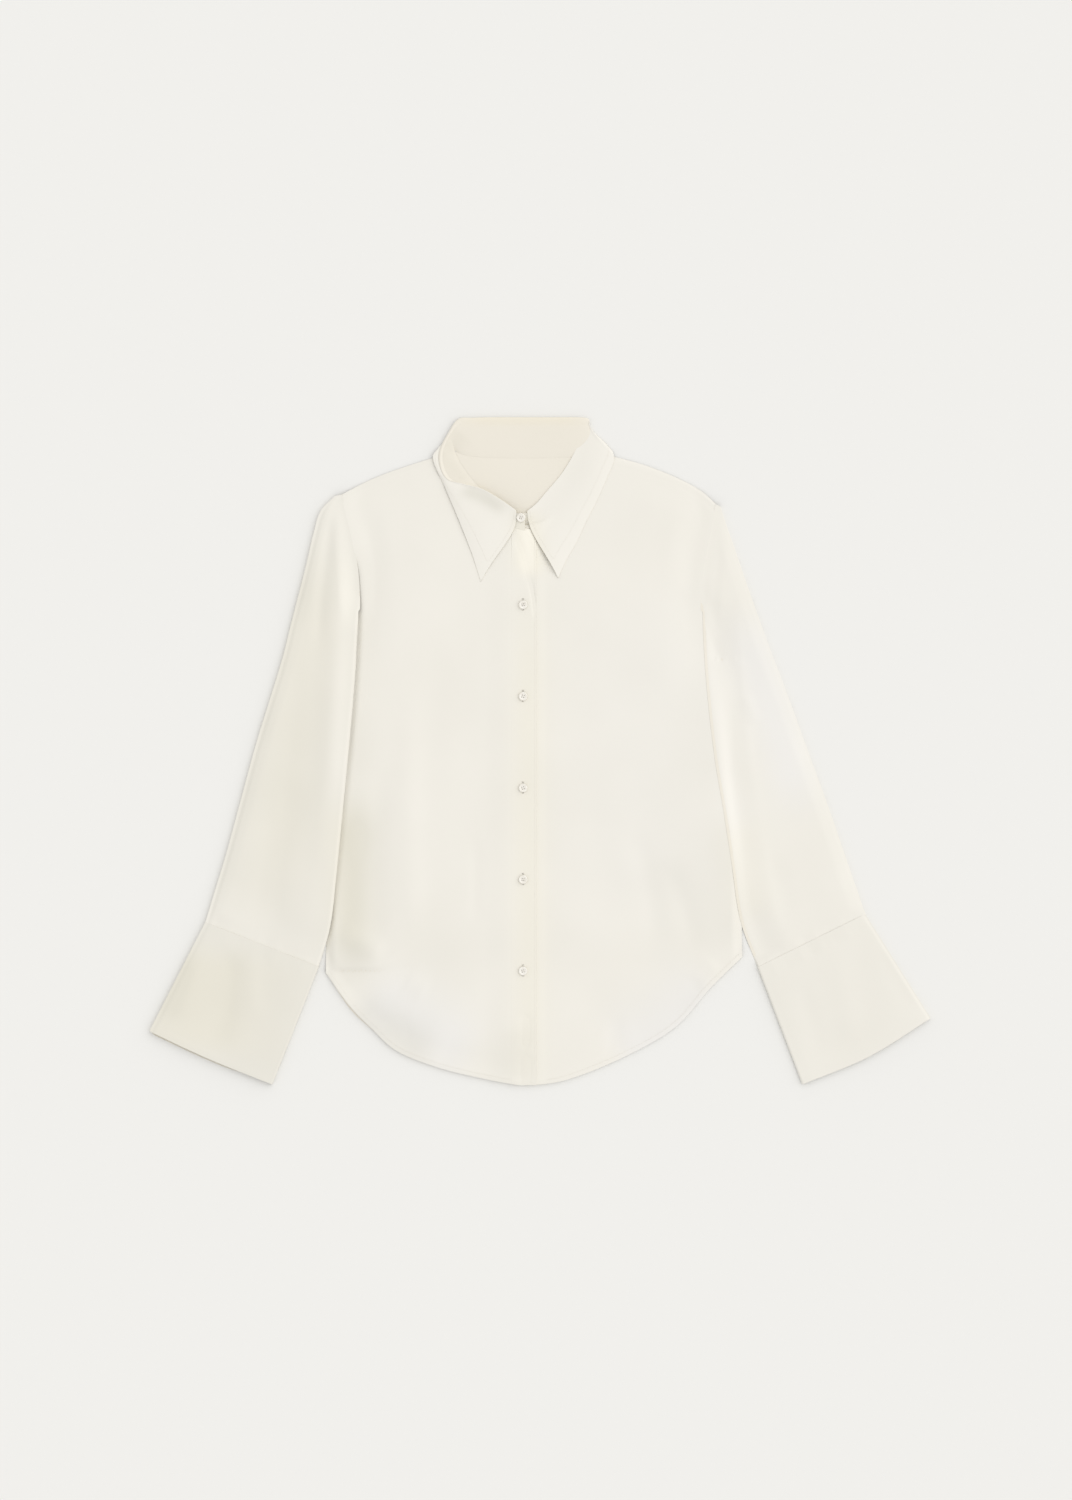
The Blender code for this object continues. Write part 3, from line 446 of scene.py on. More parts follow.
# Sewing.
STITCH = 2.3
STITCH_GAP = 0.7
THREAD = 0.3
STITCH_SEED = 7
UNEVENNESS = 0.12
STITCH_PROUD = 0.1
HEM_STITCH_IN = 0.6  # the hem's stitches lie this far outside its inner edge
HEM_STITCH_RISE = 0.87  # share of the hem's rise
HEM_STITCH_ENDS = (4.0, 1.0)  # stitches stop this far from the side seam and from the band
BAND_STITCH_ENDS = (3.0, 2.0)  # and this far from the band's lower and upper end
BUTTONHOLE = 12.2
BUTTONHOLE_BELOW = 5.6  # it starts this far below the middle of its button
BUTTONHOLE_BAR = 1.1
BUTTONHOLE_SLIT = 0.12
BUTTONHOLE_THREAD = 0.28
BUTTONHOLE_TURNS, BAR_TURNS = 57, 9  # points of the zigzag along a side and of a bar
BAR_OUT, BAR_REACH = 0.2, 0.5  # a bar lies this far outside the end, and reaches this far

# Buttons. Columns of the profile: share of the radius, share of the height.
BUTTON_PROFILE = (
    (0, 0), (0.80, 0), (0.94, 0.08), (1, 0.30), (0.985, 0.54), (0.93, 0.76),
    (0.84, 0.86), (0.76, 0.86), (0.68, 0.78), (0.60, 0.72), (0.45, 0.70), (0, 0.69),
)
BUTTON_SIDES, HOLE_SIDES = 48, 16
BUTTON_DISH = 0.70  # share of the height
HOLE_SPREAD, HOLE_RADIUS = 1.1, 0.52
BUTTON_TURNS = (8.0, -14.0, 21.0, -5.0, 12.0, -20.0)  # degrees
THREAD_FOOT, THREAD_SPRING, THREAD_RISE, THREAD_APART = -0.3, -0.35, 0.65, 0.16

# One broad light within an even white room. Angles in degrees.
ROOM_STRENGTH = 0.88
ROOM_COLOUR = (1.0, 0.997, 0.99, 1.0)
LIGHT_STRENGTH, LIGHT_WIDTH, LIGHT_TILT, LIGHT_HEADING = 0.977, 80.0, 45.0, 25.0
LIGHT_COLOUR = (1.0, 0.995, 0.98)
FLOOR_REACH = 6.0  # metres

# Camera. The frame is 1072 by 1500, and its taller side is this long on the floor.
VIEW_LENGTH = 1680.0
VIEW_CENTRE_X = -4.5
LENS = 90.0
SENSOR = 36.0


# ---------------------------------------------------------------- lines and grids


def smooth(t):
    """0 up to 1 with no corner at either end."""
    t = np.clip(t, 0.0, 1.0)
    return t * t * (3.0 - 2.0 * t)


def fade(t):
    """1 down to 0 with no corner at either end."""
    return 1.0 - smooth(t)


def blend(first, second, share):
    return first + (second - first) * share


def bell(off, reach):
    """1 at no distance and almost nothing past the reach."""
    return np.exp(-((off / reach) ** 2))


def rounded(t):
    """0 up to 1 as a quarter circle, steep at first."""
    t = np.clip(t, 0.0, 1.0)
    return np.sqrt(1.0 - (1.0 - t) ** 2)


def through(points, count):
    """That many points, evenly spaced, on a smooth curve through the given points."""
    points = np.array(points, float)
    before = 2.0 * points[:1] - points[1:2]
    after = 2.0 * points[-1:] - points[-2:-1]
    knots = np.concatenate([before, points, after])
    t = np.linspace(0.0, 1.0, 25)[:-1, None]
    pieces = []
    for a, b, c, d in zip(knots, knots[1:], knots[2:], knots[3:]):
        pieces.append(
            0.5 * (2 * b + (c - a) * t + (2 * a - 5 * b + 4 * c - d) * t**2
                   + (3 * b - a - 3 * c + d) * t**3)
        )
    fine = np.concatenate([*pieces, points[-1:]])
    return along(fine, np.linspace(0.0, 1.0, count))


def along(line, shares):
    """Points of a fine line at those shares of its length."""
    steps = np.linalg.norm(np.diff(line[:, :3], axis=0), axis=1)
    run = np.concatenate([[0.0], np.cumsum(steps)])
    wanted = np.asarray(shares) * run[-1]
    return np.stack([np.interp(wanted, run, line[:, k]) for k in range(line.shape[1])], axis=-1)


def joined(*curves):
    """Curves end to end, each starting on the last point of the one before."""
    return np.concatenate([curves[0]] + [curve[1:] for curve in curves[1:]])


def unit(vectors):
    return vectors / np.maximum(np.linalg.norm(vectors, axis=-1, keepdims=True), 1e-9)


def patch(bottom, top, left, right):
    """A grid filled in between four border curves that share their corners."""
    u = np.linspace(0.0, 1.0, len(bottom))[None, :, None]
    v = np.linspace(0.0, 1.0, len(left))[:, None, None]
    rows = (1 - v) * bottom[None] + v * top[None]
    columns = (1 - u) * left[:, None] + u * right[:, None]
    corners = ((1 - u) * (1 - v) * bottom[0] + u * (1 - v) * bottom[-1]
               + (1 - u) * v * top[0] + u * v * top[-1])
    return rows + columns - corners


def x_at(curve, y):
    fine = through(curve, 240)
    fine = fine[np.argsort(fine[:, 1])]
    return np.interp(y, fine[:, 1], fine[:, 0])


def y_at(curve, x):
    fine = through(curve, 320)
    fine = fine[np.argsort(fine[:, 0])]
    return np.interp(x, fine[:, 0], fine[:, 1])


def from_edges(grid):
    """Distance of each point from the grid's first row, last row, first and last column."""
    def run(axis, points):
        steps = np.linalg.norm(np.diff(points, axis=axis), axis=-1)
        start = np.zeros_like(np.take(steps, [0], axis=axis))
        return np.cumsum(np.concatenate([start, steps], axis=axis), axis=axis)

    up, over = run(0, grid), run(1, grid)
    return up, up[-1:] - up, over, over[:, -1:] - over


def from_ends(line):
    """Distance of each point of a line from its nearer end."""
    run = np.concatenate([[0.0], np.cumsum(np.linalg.norm(np.diff(line, axis=0), axis=1))])
    return np.minimum(run, run[-1] - run)


# ---------------------------------------------------------------- how the silk lies


def shoulder_y(x):
    return np.where(x < NECK_AIM[0], y_at(SHOULDER_RIGHT, x), y_at(SHOULDER_LEFT, x))


def top_edge_y(x):
    """The highest y of the body: a shoulder, or the back of the neck."""
    at_neck = (x > SHOULDER_RIGHT[-1][0]) & (x < SHOULDER_LEFT[-1][0])
    return np.where(at_neck, y_at(NECK_BACK, x), shoulder_y(x))


def creased(x, y, creases):
    """Height that the creases add at a point."""
    total = np.zeros_like(x)
    for x0, y0, x1, y1, bow, reach, height in creases:
        length = np.hypot(x1 - x0, y1 - y0)
        dx, dy = (x1 - x0) / length, (y1 - y0) / length
        run = ((x - x0) * dx + (y - y0) * dy) / length
        inside = np.clip(run, 0.0, 1.0)
        off = (y - y0) * dx - (x - x0) * dy - 4.0 * bow * inside * (1.0 - inside)
        ends = smooth((run + CREASE_PAST) / CREASE_FADE)
        ends = ends * smooth((1.0 + CREASE_PAST - run) / CREASE_FADE)
        total += height * ends * bell(off, reach)
    return total


def ripple(x, y):
    """Faint waves that keep loose silk from lying dead flat."""
    total = np.zeros_like(x)
    for heading, length, phase, height in RIPPLES:
        across = x * np.cos(np.radians(heading)) + y * np.sin(np.radians(heading))
        total += height * np.sin(2.0 * np.pi * across / length + phase)
    return total


def seam_x(hand, y):
    """Place of the side seam, and of the armhole above it."""
    return x_at((HEM_CORNERS[hand], *ARMHOLES[hand]), y)


def inner_line(hand):
    """The visible armhole from the shoulder down, and then the sleeve's inner fold."""
    return (*ARMHOLES[hand][:HIDDEN_POINTS - 1:-1], *INNER_FOLDS[hand])


def fold_x(hand, y):
    return x_at(inner_line(hand), y)


def front_rise(x, y):
    """Height that a front gains away from its edges."""
    inside = smooth((y - y_at(HEM, x)) / HEM_RUN) * smooth((shoulder_y(x) - y) / SIDE_RUN)
    above = smooth((y - UNDERARM + FOLD_RISE) / FOLD_RISE)
    for hand, side in enumerate(SIDES):
        gap = (fold_x(hand, y) - x) * side
        inside = inside * (1.0 - above * fade(gap / SIDE_RUN))
    neck = np.hypot(x - NECK_AIM[0], y - SHOULDER_RIGHT[-1][1])
    inside = inside * blend(COLLAR_SHARE, 1.0, smooth((neck - COLLAR_REACH) / COLLAR_RUN))
    off_crease = smooth((x - HEM[2][0]) / COLLAR_RUN)
    hip_slope = blend(HIP_SLOPE_RIGHT, HIP_SLOPE, off_crease)
    height = blend(TAIL_LIFT, FRONT_LIFT, smooth((y - HIP_Y) / hip_slope))
    loose = creased(x, y, FRONT_CREASES) + ripple(x, y)
    return np.clip(inside * height + smooth(inside * 3.0) * loose, 0.0, LIFT_LIMIT)


def armhole_level(hand, y):
    """Upper face of a front along its armhole."""
    return ARMHOLE_LEVEL + ARMHOLE_GAIN * smooth((y - ARMHOLE_CLIMBS_FROM[hand]) / ARMHOLE_RUN)


def front_level(x, y):
    """Upper face of a front, down to the seams at its sides."""
    level = FRONT_LEVEL + front_rise(x, y)
    above = smooth((y - UNDERARM + FOLD_RISE) / FOLD_RISE)
    shortest = blend(SEAM_RUN[0], HIP_EDGE_RUN, smooth((HIP_EDGE_TOP - y) / HIP_EDGE_FADE))
    for hand, side in enumerate(SIDES):
        armhole = armhole_level(hand, y)
        sewn = blend(SEWN_LEVEL, armhole, smooth((y - UNDERARM + SEWN_RUN) / SEWN_RUN))
        at_fold = blend(level, armhole, above)
        level = blend(at_fold, level, smooth((fold_x(hand, y) - x) * side / SEAM_RUN[1]))
        covered = (seam_x(hand, y) - fold_x(hand, y)) * side
        run = np.clip(covered - FLAT_UNDER_FOLD, shortest, SEAM_RUN[1])
        level = blend(sewn, level, smooth((seam_x(hand, y) - x) * side / run))
    return level


def band_level(x, y):
    """Upper face of the button band, which lies on the other front."""
    return front_level(x, y) + SEAM + WALL + creased(x, y, BAND_CREASES)


# ---------------------------------------------------------------- meshes


def new_mesh(name, points, faces):
    """A mesh from points in millimetres."""
    mesh = bpy.data.meshes.new(name)
    mesh.from_pydata([tuple(p) for p in np.array(points, float) * MM], [], faces)
    return mesh


def mesh_object(name, mesh):
    made = bpy.data.objects.new(name, mesh)
    bpy.context.scene.collection.objects.link(made)
    return made


def set_values(mesh, name, kind, domain, values):
    mesh.attributes.new(name, kind, domain).data.foreach_set("value", values)


def border_loops(rows, columns, closed_from):
    """The borders of a shell's grid, each a loop of rows and columns."""
    first = [(0, j) for j in range(columns)]
    last = [(rows - 1, j) for j in range(columns)]
    left = [(i, 0) for i in range(min(closed_from, rows - 1) + 1)]
    right = [(i, columns - 1) for i, _ in left]
    if closed_from >= rows - 1:
        return [first + right[1:] + last[-2::-1] + left[-2:0:-1]]
    if closed_from == 0:
        return [first, last[::-1]]
    return [first + right[1:] + left[:0:-1], last[::-1]]


def shell(name, upper, lower, cloth_place, finishes, closed_from=None, tone=EVEN_TONE, painted_shading=(),
          pressed_columns=(), painted_shade_columns=0):
    """A shell of cloth between two grids of points, closed round its edges by a soft turn.

    With closed_from, each row from that one on is a closed ring round a tube. cloth_place has
    where each point was on the flat cloth, with one column more than the grid on a tube. The
    border and the pressed columns have a crisp edge. The painted-shade columns, from the first one
    on, have the cloth's other side up, whose deeper colour is painted shade inside the collar.
    """
    rows, columns = upper.shape[:2]
    closed_from = rows if closed_from is None else closed_from
    points = [upper.reshape(-1, 3), lower.reshape(-1, 3)]
    faces, places, finish_of = [], [], []

    def at(i, j, layer=0):
        return (layer * rows + i) * columns + j % columns

    for i in range(rows - 1):
        for j in range(columns if i >= closed_from else columns - 1):
            corners = ((i, j), (i, j + 1), (i + 1, j + 1), (i + 1, j))
            faces.append([at(a, b) for a, b in corners])
            places.append(corners)
            faces.append([at(a, b, 1) for a, b in corners[::-1]])
            places.append(corners[::-1])
            finish_of += [1, 0] if j < painted_shade_columns else [0, 1]
    loops = border_loops(rows, columns, closed_from)
    for loop in loops:
        start = sum(len(p) for p in points)
        is_ring = loop is not loops[0] or closed_from == 0
        turned = []
        for i, j in loop:
            beside = (min(max(i, 1), rows - 2), j if is_ring else min(max(j, 1), columns - 2))
            out = unit(upper[i, j] - upper[beside])
            wall = np.linalg.norm(upper[i, j] - lower[i, j])
            bulge = min(wall, FIRM_SILK) * EDGE_BULGE
            turned.append((upper[i, j] + lower[i, j]) / 2.0 + out * bulge)
        points.append(np.array(turned))
        count = len(loop)
        for k in range(count):
            a, b, c = loop[k], loop[(k + 1) % count], start + (k + 1) % count
            faces.append([at(*b), at(*a), start + k, c])
            faces.append([c, start + k, at(*a, 1), at(*b, 1)])
            places += [(b, a, a, b), (b, a, a, b)]
            finish_of += [0, 0]
    points = np.concatenate(points)
    faces = np.array(faces)
    corners = np.array(places)
    a, b, c, d = (points[faces[:, k]] for k in range(4))
    volume = np.einsum("ij,ij->i", a, np.cross(b, c) + np.cross(c, d)).sum()
    if volume < 0.0:
        faces, corners = faces[:, ::-1], corners[:, ::-1]
    mesh = new_mesh(name, points, faces.tolist())
    places_on_cloth = cloth_place[corners[..., 0], corners[..., 1]] * MM
    mesh.uv_layers.new(name="cloth").data.foreach_set("uv", places_on_cloth.ravel())
    mesh.polygons.foreach_set("material_index", finish_of)
    for finish in finishes:
        mesh.materials.append(finish)
    x, y = points[:, 0], points[:, 1]
    # The tone carries painted shade and light: the piece's painted depth and its painted shading.
    set_values(mesh, "tone", "FLOAT", "POINT", tone + creased(x, y, painted_shading))
    # Painted warmth of shade, cooler where the silk is lit.
    set_values(mesh, "shade_warmth", "FLOAT", "POINT", 0.5 + 0.5 * creased(x, y, PAINTED_SHADE_WARMTH))
    mesh.shade_smooth()
    # The points of the crisp lines have 0 on the upper face and 1 on the lower one.
    crisp = np.full(len(points), -1)
    pressed = [[(i, j) for i in range(rows)] for j in pressed_columns]
    for i, j in (place for line in (*loops, *pressed) for place in line):
        for layer in (0, 1):
            crisp[at(i, j, layer)] = layer
    ends = np.empty(2 * len(mesh.edges), int)
    mesh.edges.foreach_get("vertices", ends)
    start, end = crisp[ends.reshape(-1, 2)].T
    sharp = (start >= 0) & (start == end)
    set_values(mesh, "sharp_edge", "BOOLEAN", "EDGE", sharp)
    return mesh_object(name, mesh)


def laid_panel(name, grid, level, thickness, finishes, painted_shading=()):
    """A panel that lies flat, with its upper face at the given level."""
    upper = np.concatenate([grid, level[..., None]], axis=-1)
    lower = np.concatenate([grid, (level - thickness)[..., None]], axis=-1)
    return shell(name, upper, lower, grid, finishes, painted_shading=painted_shading)


def declare(piece, node):
    """Hangs a piece under the root body and hides the frame's part that it stands for, if any."""
    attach(piece, "root")
    if node:
        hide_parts(node)


# ---------------------------------------------------------------- body


def side_line(hand, side_rows, armhole_rows):
    """The side seam and the armhole above it."""
    seam = through((HEM_CORNERS[hand], ARMHOLES[hand][0]), side_rows + 1)
    return joined(seam, through(ARMHOLES[hand], armhole_rows + 1))


def front_grid(edge, hand, side_rows=110, armhole_rows=72, shoulder_columns=38, neck_columns=44):
    """One front from its side seam to the straight edge near the middle."""
    corner = (edge, float(y_at(HEM, edge)))
    hem = HEM if hand == 0 else HEM[::-1]
    outer = [p for p in hem if (p[0] - edge) * SIDES[hand] > CORNER_CLEAR]
    bottom = through([*outer, corner], shoulder_columns + neck_columns + 1)
    top = joined(through(SHOULDERS[hand], shoulder_columns + 1),
                 through(NECK_EDGES[hand], neck_columns + 1))
    left = side_line(hand, side_rows, armhole_rows)
    right = through((bottom[-1], top[-1]), side_rows + armhole_rows + 1)
    return patch(bottom, top, left, right)


def hem_roll(distance):
    """The narrow turned hem stands a little proud of the single cloth."""
    rise, fall = HEM_ROLL_RUN
    return HEM_ROLL * smooth(distance / rise) * fade((distance - HEM_WIDTH) / fall)


def hem_depth(level, from_hem, thickness):
    """Thickness of a panel whose turned hem curls down to the back's."""
    return thickness + (level - HEM_FOOT - thickness) * fade(from_hem / HEM_CURL)


def beside_fold(x, y):
    """Depth of the groove beside the right sleeve's inner fold."""
    depth = GROOVE * blend(GROOVE_SHALLOW, 1.0, smooth((y - GROOVE_LOW) / GROOVE_LOW_RUN))
    return depth * smooth((GROOVE_TOP - y) / GROOVE_FADE) * bell(x - fold_x(0, y), GROOVE_REACH)


def front(hand, finishes):
    grid = front_grid(BAND_LEFT + FRONT_END[hand], hand)
    x, y = grid[..., 0], grid[..., 1]
    from_hem, from_top, _, _ = from_edges(grid)
    level = front_level(x, y) + hem_roll(from_hem) + HEM_RISE * fade(from_hem / HEM_RISE_RUN)
    reach, run = STAND_COVERS
    under_stand = (hand == 0) * smooth((x - SHOULDER_RIGHT[-1][0] + reach) / run)
    top_fall = TOP_FALL + TOP_FALL_AT_STAND * under_stand
    level -= (FRONT_LEVEL - SEWN_LEVEL) * fade(from_top / top_fall)
    level -= STAND_PRESS * under_stand * fade(from_top / (TOP_FALL + TOP_FALL_AT_STAND))
    depth, place, reach = TOP_GROOVE
    level -= depth * bell(from_top - place, reach) * (np.abs(x - NECK_AIM[0]) > NECK_CLEAR)
    if hand == 0:
        level += (WALL + SEAM) * smooth((x - BAND_LEFT + BAND_RAMP) / BAND_RAMP)
        level -= BAND_PRESS * smooth((x - BAND_LEFT + CAUGHT) / CAUGHT) + beside_fold(x, y)
    else:
        beside_band = fade((x - BAND_RIGHT) / BAND_SIDE_RUN)
        level += BAND_SIDE_LIFT * beside_band * smooth(from_top / BAND_TOP_RUN)
        level = np.maximum(level + creased(x, y, NECK_TROUGH), SEWN_LEVEL - TROUGH_FLOOR)
    piece = laid_panel(f"front_{HANDS[hand]}_shell", grid, level,
                       hem_depth(level, from_hem, SILK), finishes, FRONT_PAINTED_SHADING)
    declare(piece, f"front_{HANDS[hand]}")


def back_panel(finishes, side_rows=100, armhole_rows=62, shoulder_columns=34, neck_columns=58):
    """The back, with its hem a little below the front's at the right hip."""
    bottom = through(HEM, 2 * shoulder_columns + neck_columns + 1)
    middle, reach, out, down = HEM_PEEK
    bottom = bottom - bell(bottom[:, 0] - middle, reach)[:, None] * np.array([out, down])
    neck = through(NECK_BACK[::-1], neck_columns + 1)
    neck[:, 1] += UNDER_STAND * smooth(from_ends(neck) / NECK_END_RUN)
    top = joined(through(SHOULDER_RIGHT, shoulder_columns + 1), neck,
                 through(SHOULDER_LEFT[::-1], shoulder_columns + 1))
    left, right = (side_line(hand, side_rows, armhole_rows) for hand in (0, 1))
    grid = patch(bottom, top, left, right)
    level = SILK + BACK_CLEAR + hem_roll(from_edges(grid)[0])
    piece = laid_panel("back_shell", grid, level, SILK, finishes[::-1])
    declare(piece, "back")


def button_band(finishes, rows=230, columns=22):
    xs = np.linspace(BAND_LEFT, BAND_RIGHT, columns + 1)
    bottom = np.stack([xs, y_at(HEM, xs)], axis=1)
    top = np.stack([xs, y_at(NECK_BAND, xs) + UNDER_STAND], axis=1)
    grid = patch(bottom, top, through((bottom[0], top[0]), rows + 1),
                 through((bottom[-1], top[-1]), rows + 1))
    x, y = grid[..., 0], grid[..., 1]
    from_hem, _, _, from_right = from_edges(grid)
    level = band_level(x, y) + hem_roll(from_hem)
    level += HEM_RISE * fade(from_hem / HEM_RISE_RUN)
    level += creased(x, y, NECK_TROUGH)
    dent, reach = BAND_STITCH_DENT
    level -= dent * bell(from_right - BAND_STITCH_IN, reach)
    piece = laid_panel("button_band", grid, level, hem_depth(level, from_hem, FIRM_SILK), finishes,
                       FRONT_PAINTED_SHADING)
    declare(piece, "front_band")


# ---------------------------------------------------------------- sleeves and cuffs


def tube_run(width, is_open, inset, middle_points):
    """Distances across a flattened tube at which it has points, dense near both edges."""
    narrow = np.minimum(1.0, EDGE_SHARE * (width - 2.0 * inset) / EDGE_STEPS[-1])
    steps = np.array(EDGE_STEPS)[None, :] * narrow
    near, far = inset * (1.0 - is_open), width - inset
    low, high = near + steps[:, -1:], far - steps[:, -1:]
    middle = low + (high - low) * np.linspace(0.0, 1.0, middle_points + 2)[None, 1:-1]
    return np.concatenate([near + steps, middle, far - steps[:, ::-1]], axis=1)


def tube(name, grid, thickness, upper_z, lower_z, finishes, open_rows=0, moved=None,
         tone=EVEN_TONE, painted_shading=(), middle_points=34):
    """A flattened tube of cloth. upper_z and lower_z give the two layers' outer faces."""
    rows, columns = grid.shape[:2]
    width = np.linalg.norm(grid[:, -1] - grid[:, 0], axis=1)[:, None]
    row = np.arange(rows)[:, None]
    is_open = (row < open_rows).astype(float)
    steps = np.linalg.norm(np.diff(grid[:, columns // 2], axis=0), axis=1)
    length = np.cumsum(np.concatenate([[0.0], steps]))[:, None]

    def ring(inset):
        run = tube_run(width, is_open, inset, middle_points)
        place = run / width * (columns - 1)
        left = np.clip(np.floor(place).astype(int), 0, columns - 2)
        mix = (place - left)[..., None]
        flat = (1 - mix) * grid[row, left] + mix * grid[row, left + 1]
        outer_run = run - inset * (run < width / 2) * (1.0 - is_open) + inset * (run > width / 2)
        top = upper_z(flat[..., 0], flat[..., 1], outer_run, width - outer_run, is_open) - inset
        bottom = lower_z(flat[..., 0], flat[..., 1]) + inset
        top = np.concatenate([flat, np.maximum(top, bottom + TUBE_INSIDE)[..., None]], axis=-1)
        bottom = np.concatenate([flat, bottom[..., None]], axis=-1)
        if moved:
            moved(top, bottom, run, width)
        return np.concatenate([top, bottom[:, ::-1]], axis=1), run

    outer, run = ring(0.0)
    inner, _ = ring(thickness)
    around = np.concatenate([run, 2.0 * width - run[:, ::-1], 2.0 * width + run[:, :1]], axis=1)
    cloth_place = np.stack([around, np.broadcast_to(length, around.shape)], axis=-1)
    across = run.shape[1]
    return shell(name, outer, inner, cloth_place, finishes, open_rows, tone, painted_shading,
                 (across - 1, across))


def pucker_creases(start, end, down, table):
    """Short creases that run up from a seam between two points."""
    start, end = np.array(start), np.array(end)
    rows = []
    for share, height, reach in table:
        foot = start + share * (end - start)
        head = foot - down * PUCKER_LENGTH
        rows.append((*foot, *head, PUCKER_BOW, reach, height))
    return tuple(rows)


def cuff_frame(hand):
    """Seam and opening of a cuff, and the direction from one to the other."""
    open_inner, open_outer, bow = CUFF_OPENINGS[hand]
    seam = np.array([INNER_FOLDS[hand][-1], OUTER_FOLDS[hand][-1]])
    seam = seam + np.array([SIDES[hand] * SEWN_SHIFT, 0.0])
    opening = np.array([open_inner, open_outer])
    down = unit(opening.mean(axis=0) - seam.mean(axis=0))
    return seam, opening, down, bow


def sleeve(hand, finishes, rows=190, columns=13):
    side = SIDES[hand]
    top_y = ARMHOLES[hand][-1][1]
    underarm_y = ARMHOLES[hand][HIDDEN_POINTS][1]
    cuff_y = INNER_FOLDS[hand][-1][1]
    shift = np.array([side * SEWN_SHIFT, 0.0])
    left = through(inner_line(hand), rows + 1) + shift
    right = through(OUTER_FOLDS[hand], rows + 1) + shift
    grid = patch(through((left[0], right[0]), columns), through((left[-1], right[-1]), columns),
                 left, right)
    seam, _, down, _ = cuff_frame(hand)
    seam_middle = seam.mean(axis=0)
    puckers = pucker_creases(*seam, down, PUCKERS)

    def base(x, y):
        """On the front at the inner fold, and from there down to the floor."""
        fold = fold_x(hand, y)
        out = (x - fold) * side
        rest = front_level(fold, y) + FOLD_GAP[hand] - CREST[hand] * smooth(out / CREST_RUN)
        rest = rest * fade((out - FLAT_RUN[hand]) / BRIDGE)
        past_seam = smooth((x - seam_x(hand, y)) * side / PAST_SEAM_RUN)
        beneath = (front_level(x, y) + FOLD_GAP[hand]) * (1.0 - past_seam)
        rest = (rest + beneath + np.sqrt((rest - beneath) ** 2 + CORNER_SOFTNESS)) / 2.0
        rest = rest * fade((y - underarm_y - PAST_UNDERARM) / ARMHOLE_CLIMB)
        return rest * smooth((y - cuff_y - ABOVE_CUFF) / CUFF_CLIMB)

    def full_level(x, y, pressed, from_outer, to_cuff):
        """Upper face where the sleeve is full, with its folds and the gathers at the cuff."""
        ends = smooth((y - cuff_y + HIP_RUN) / CUFF_CLIMB) * smooth((top_y - y) / SHOULDER_RUN)
        loose = SLEEVE_LIFT * ends + creased(x, y, SLEEVE_CREASES[hand]) + ripple(x, y)
        puff = smooth(from_outer / LOOSE_RUN) * loose
        fuller = SLEEVE_FULL[hand] + OUTER_GAIN[hand] * fade(from_outer / GAIN_RUN)
        full = pressed + fuller - PRESSED[hand] + np.maximum(puff, LOOSE_LEAST)
        at_cuff = CUFF_FULL[hand] - CUFF_SEAM_DIP + creased(x, y, puckers)
        return blend(at_cuff, full, smooth(to_cuff / CUFF_SEAM_RUN))

    def fold_level(y, pressed, from_inner, is_open):
        """Upper face at the inner fold, and at the armhole that is sewn under the front."""
        lower_part = fade((y - TUCK_FROM) / TUCK_RUN)
        tucked = blend(SHOULDER_TUCK, ARMHOLE_TUCK[hand], lower_part)
        start = pressed - PRESSED[hand] + FOLD_EDGE[hand]
        start = blend(start, armhole_level(hand, y) - tucked, is_open)
        turn = (rounded if hand == 0 else smooth)(from_inner / ROLL_RADIUS[hand])
        return blend(blend(start, pressed, turn), start,
                     smooth((y - underarm_y) / UNDERARM_RUN))

    def upper_z(x, y, from_inner, from_outer, is_open):
        pressed = base(x, y) + PRESSED[hand]
        to_cuff = (seam_middle[0] - x) * down[0] + (seam_middle[1] - y) * down[1]
        at_fold, at_armhole = (smooth((from_inner - start) / run)
                               for start, run in (RISE[hand], SEWN_FULLNESS))
        below, run = ABOVE_UNDERARM
        fullness = blend(at_fold, at_armhole, smooth((y - underarm_y + below) / run))
        near, run = CUFF_SEAM_NEAR
        near_cuff = fade((to_cuff - near) / run) * smooth((from_inner + NEAR_FOLD) / CUFF_ROLL)
        inner_side = blend(fold_level(y, pressed, from_inner, is_open),
                           full_level(x, y, pressed, from_outer, to_cuff),
                           np.maximum(fullness, near_cuff))
        least, run = EDGE_ROUND
        edge = EDGE_TOP[hand] * blend(least, 1.0, rounded(from_outer / run))
        return blend(edge, inner_side, smooth((from_outer - EDGE_WIDTH[hand]) / EDGE_STEP[hand]))

    def lower_z(x, y):
        return base(x, y) + TUBE_CLEAR

    def moved(top, bottom, run, width):
        """The upper layer is tucked under the front where they are sewn together."""
        tuck = (np.arange(len(top)) < open_rows)[:, None] * fade(run / SHIFT_RUN)
        outward = unit(grid[:, -1] - grid[:, 0])[:, None]
        top[..., :2] -= outward * (ARMHOLE_SHIFT * tuck)[..., None]

    open_rows = int(np.sum(left[:, 1] > underarm_y))
    piece = tube(f"sleeve_{HANDS[hand]}_shell", grid, SILK, upper_z, lower_z, finishes, open_rows,
                 moved, SLEEVE_PAINTED_SHADE_TONE[hand], SLEEVE_PAINTED_SHADING[hand])
    declare(piece, f"sleeve_{HANDS[hand]}")


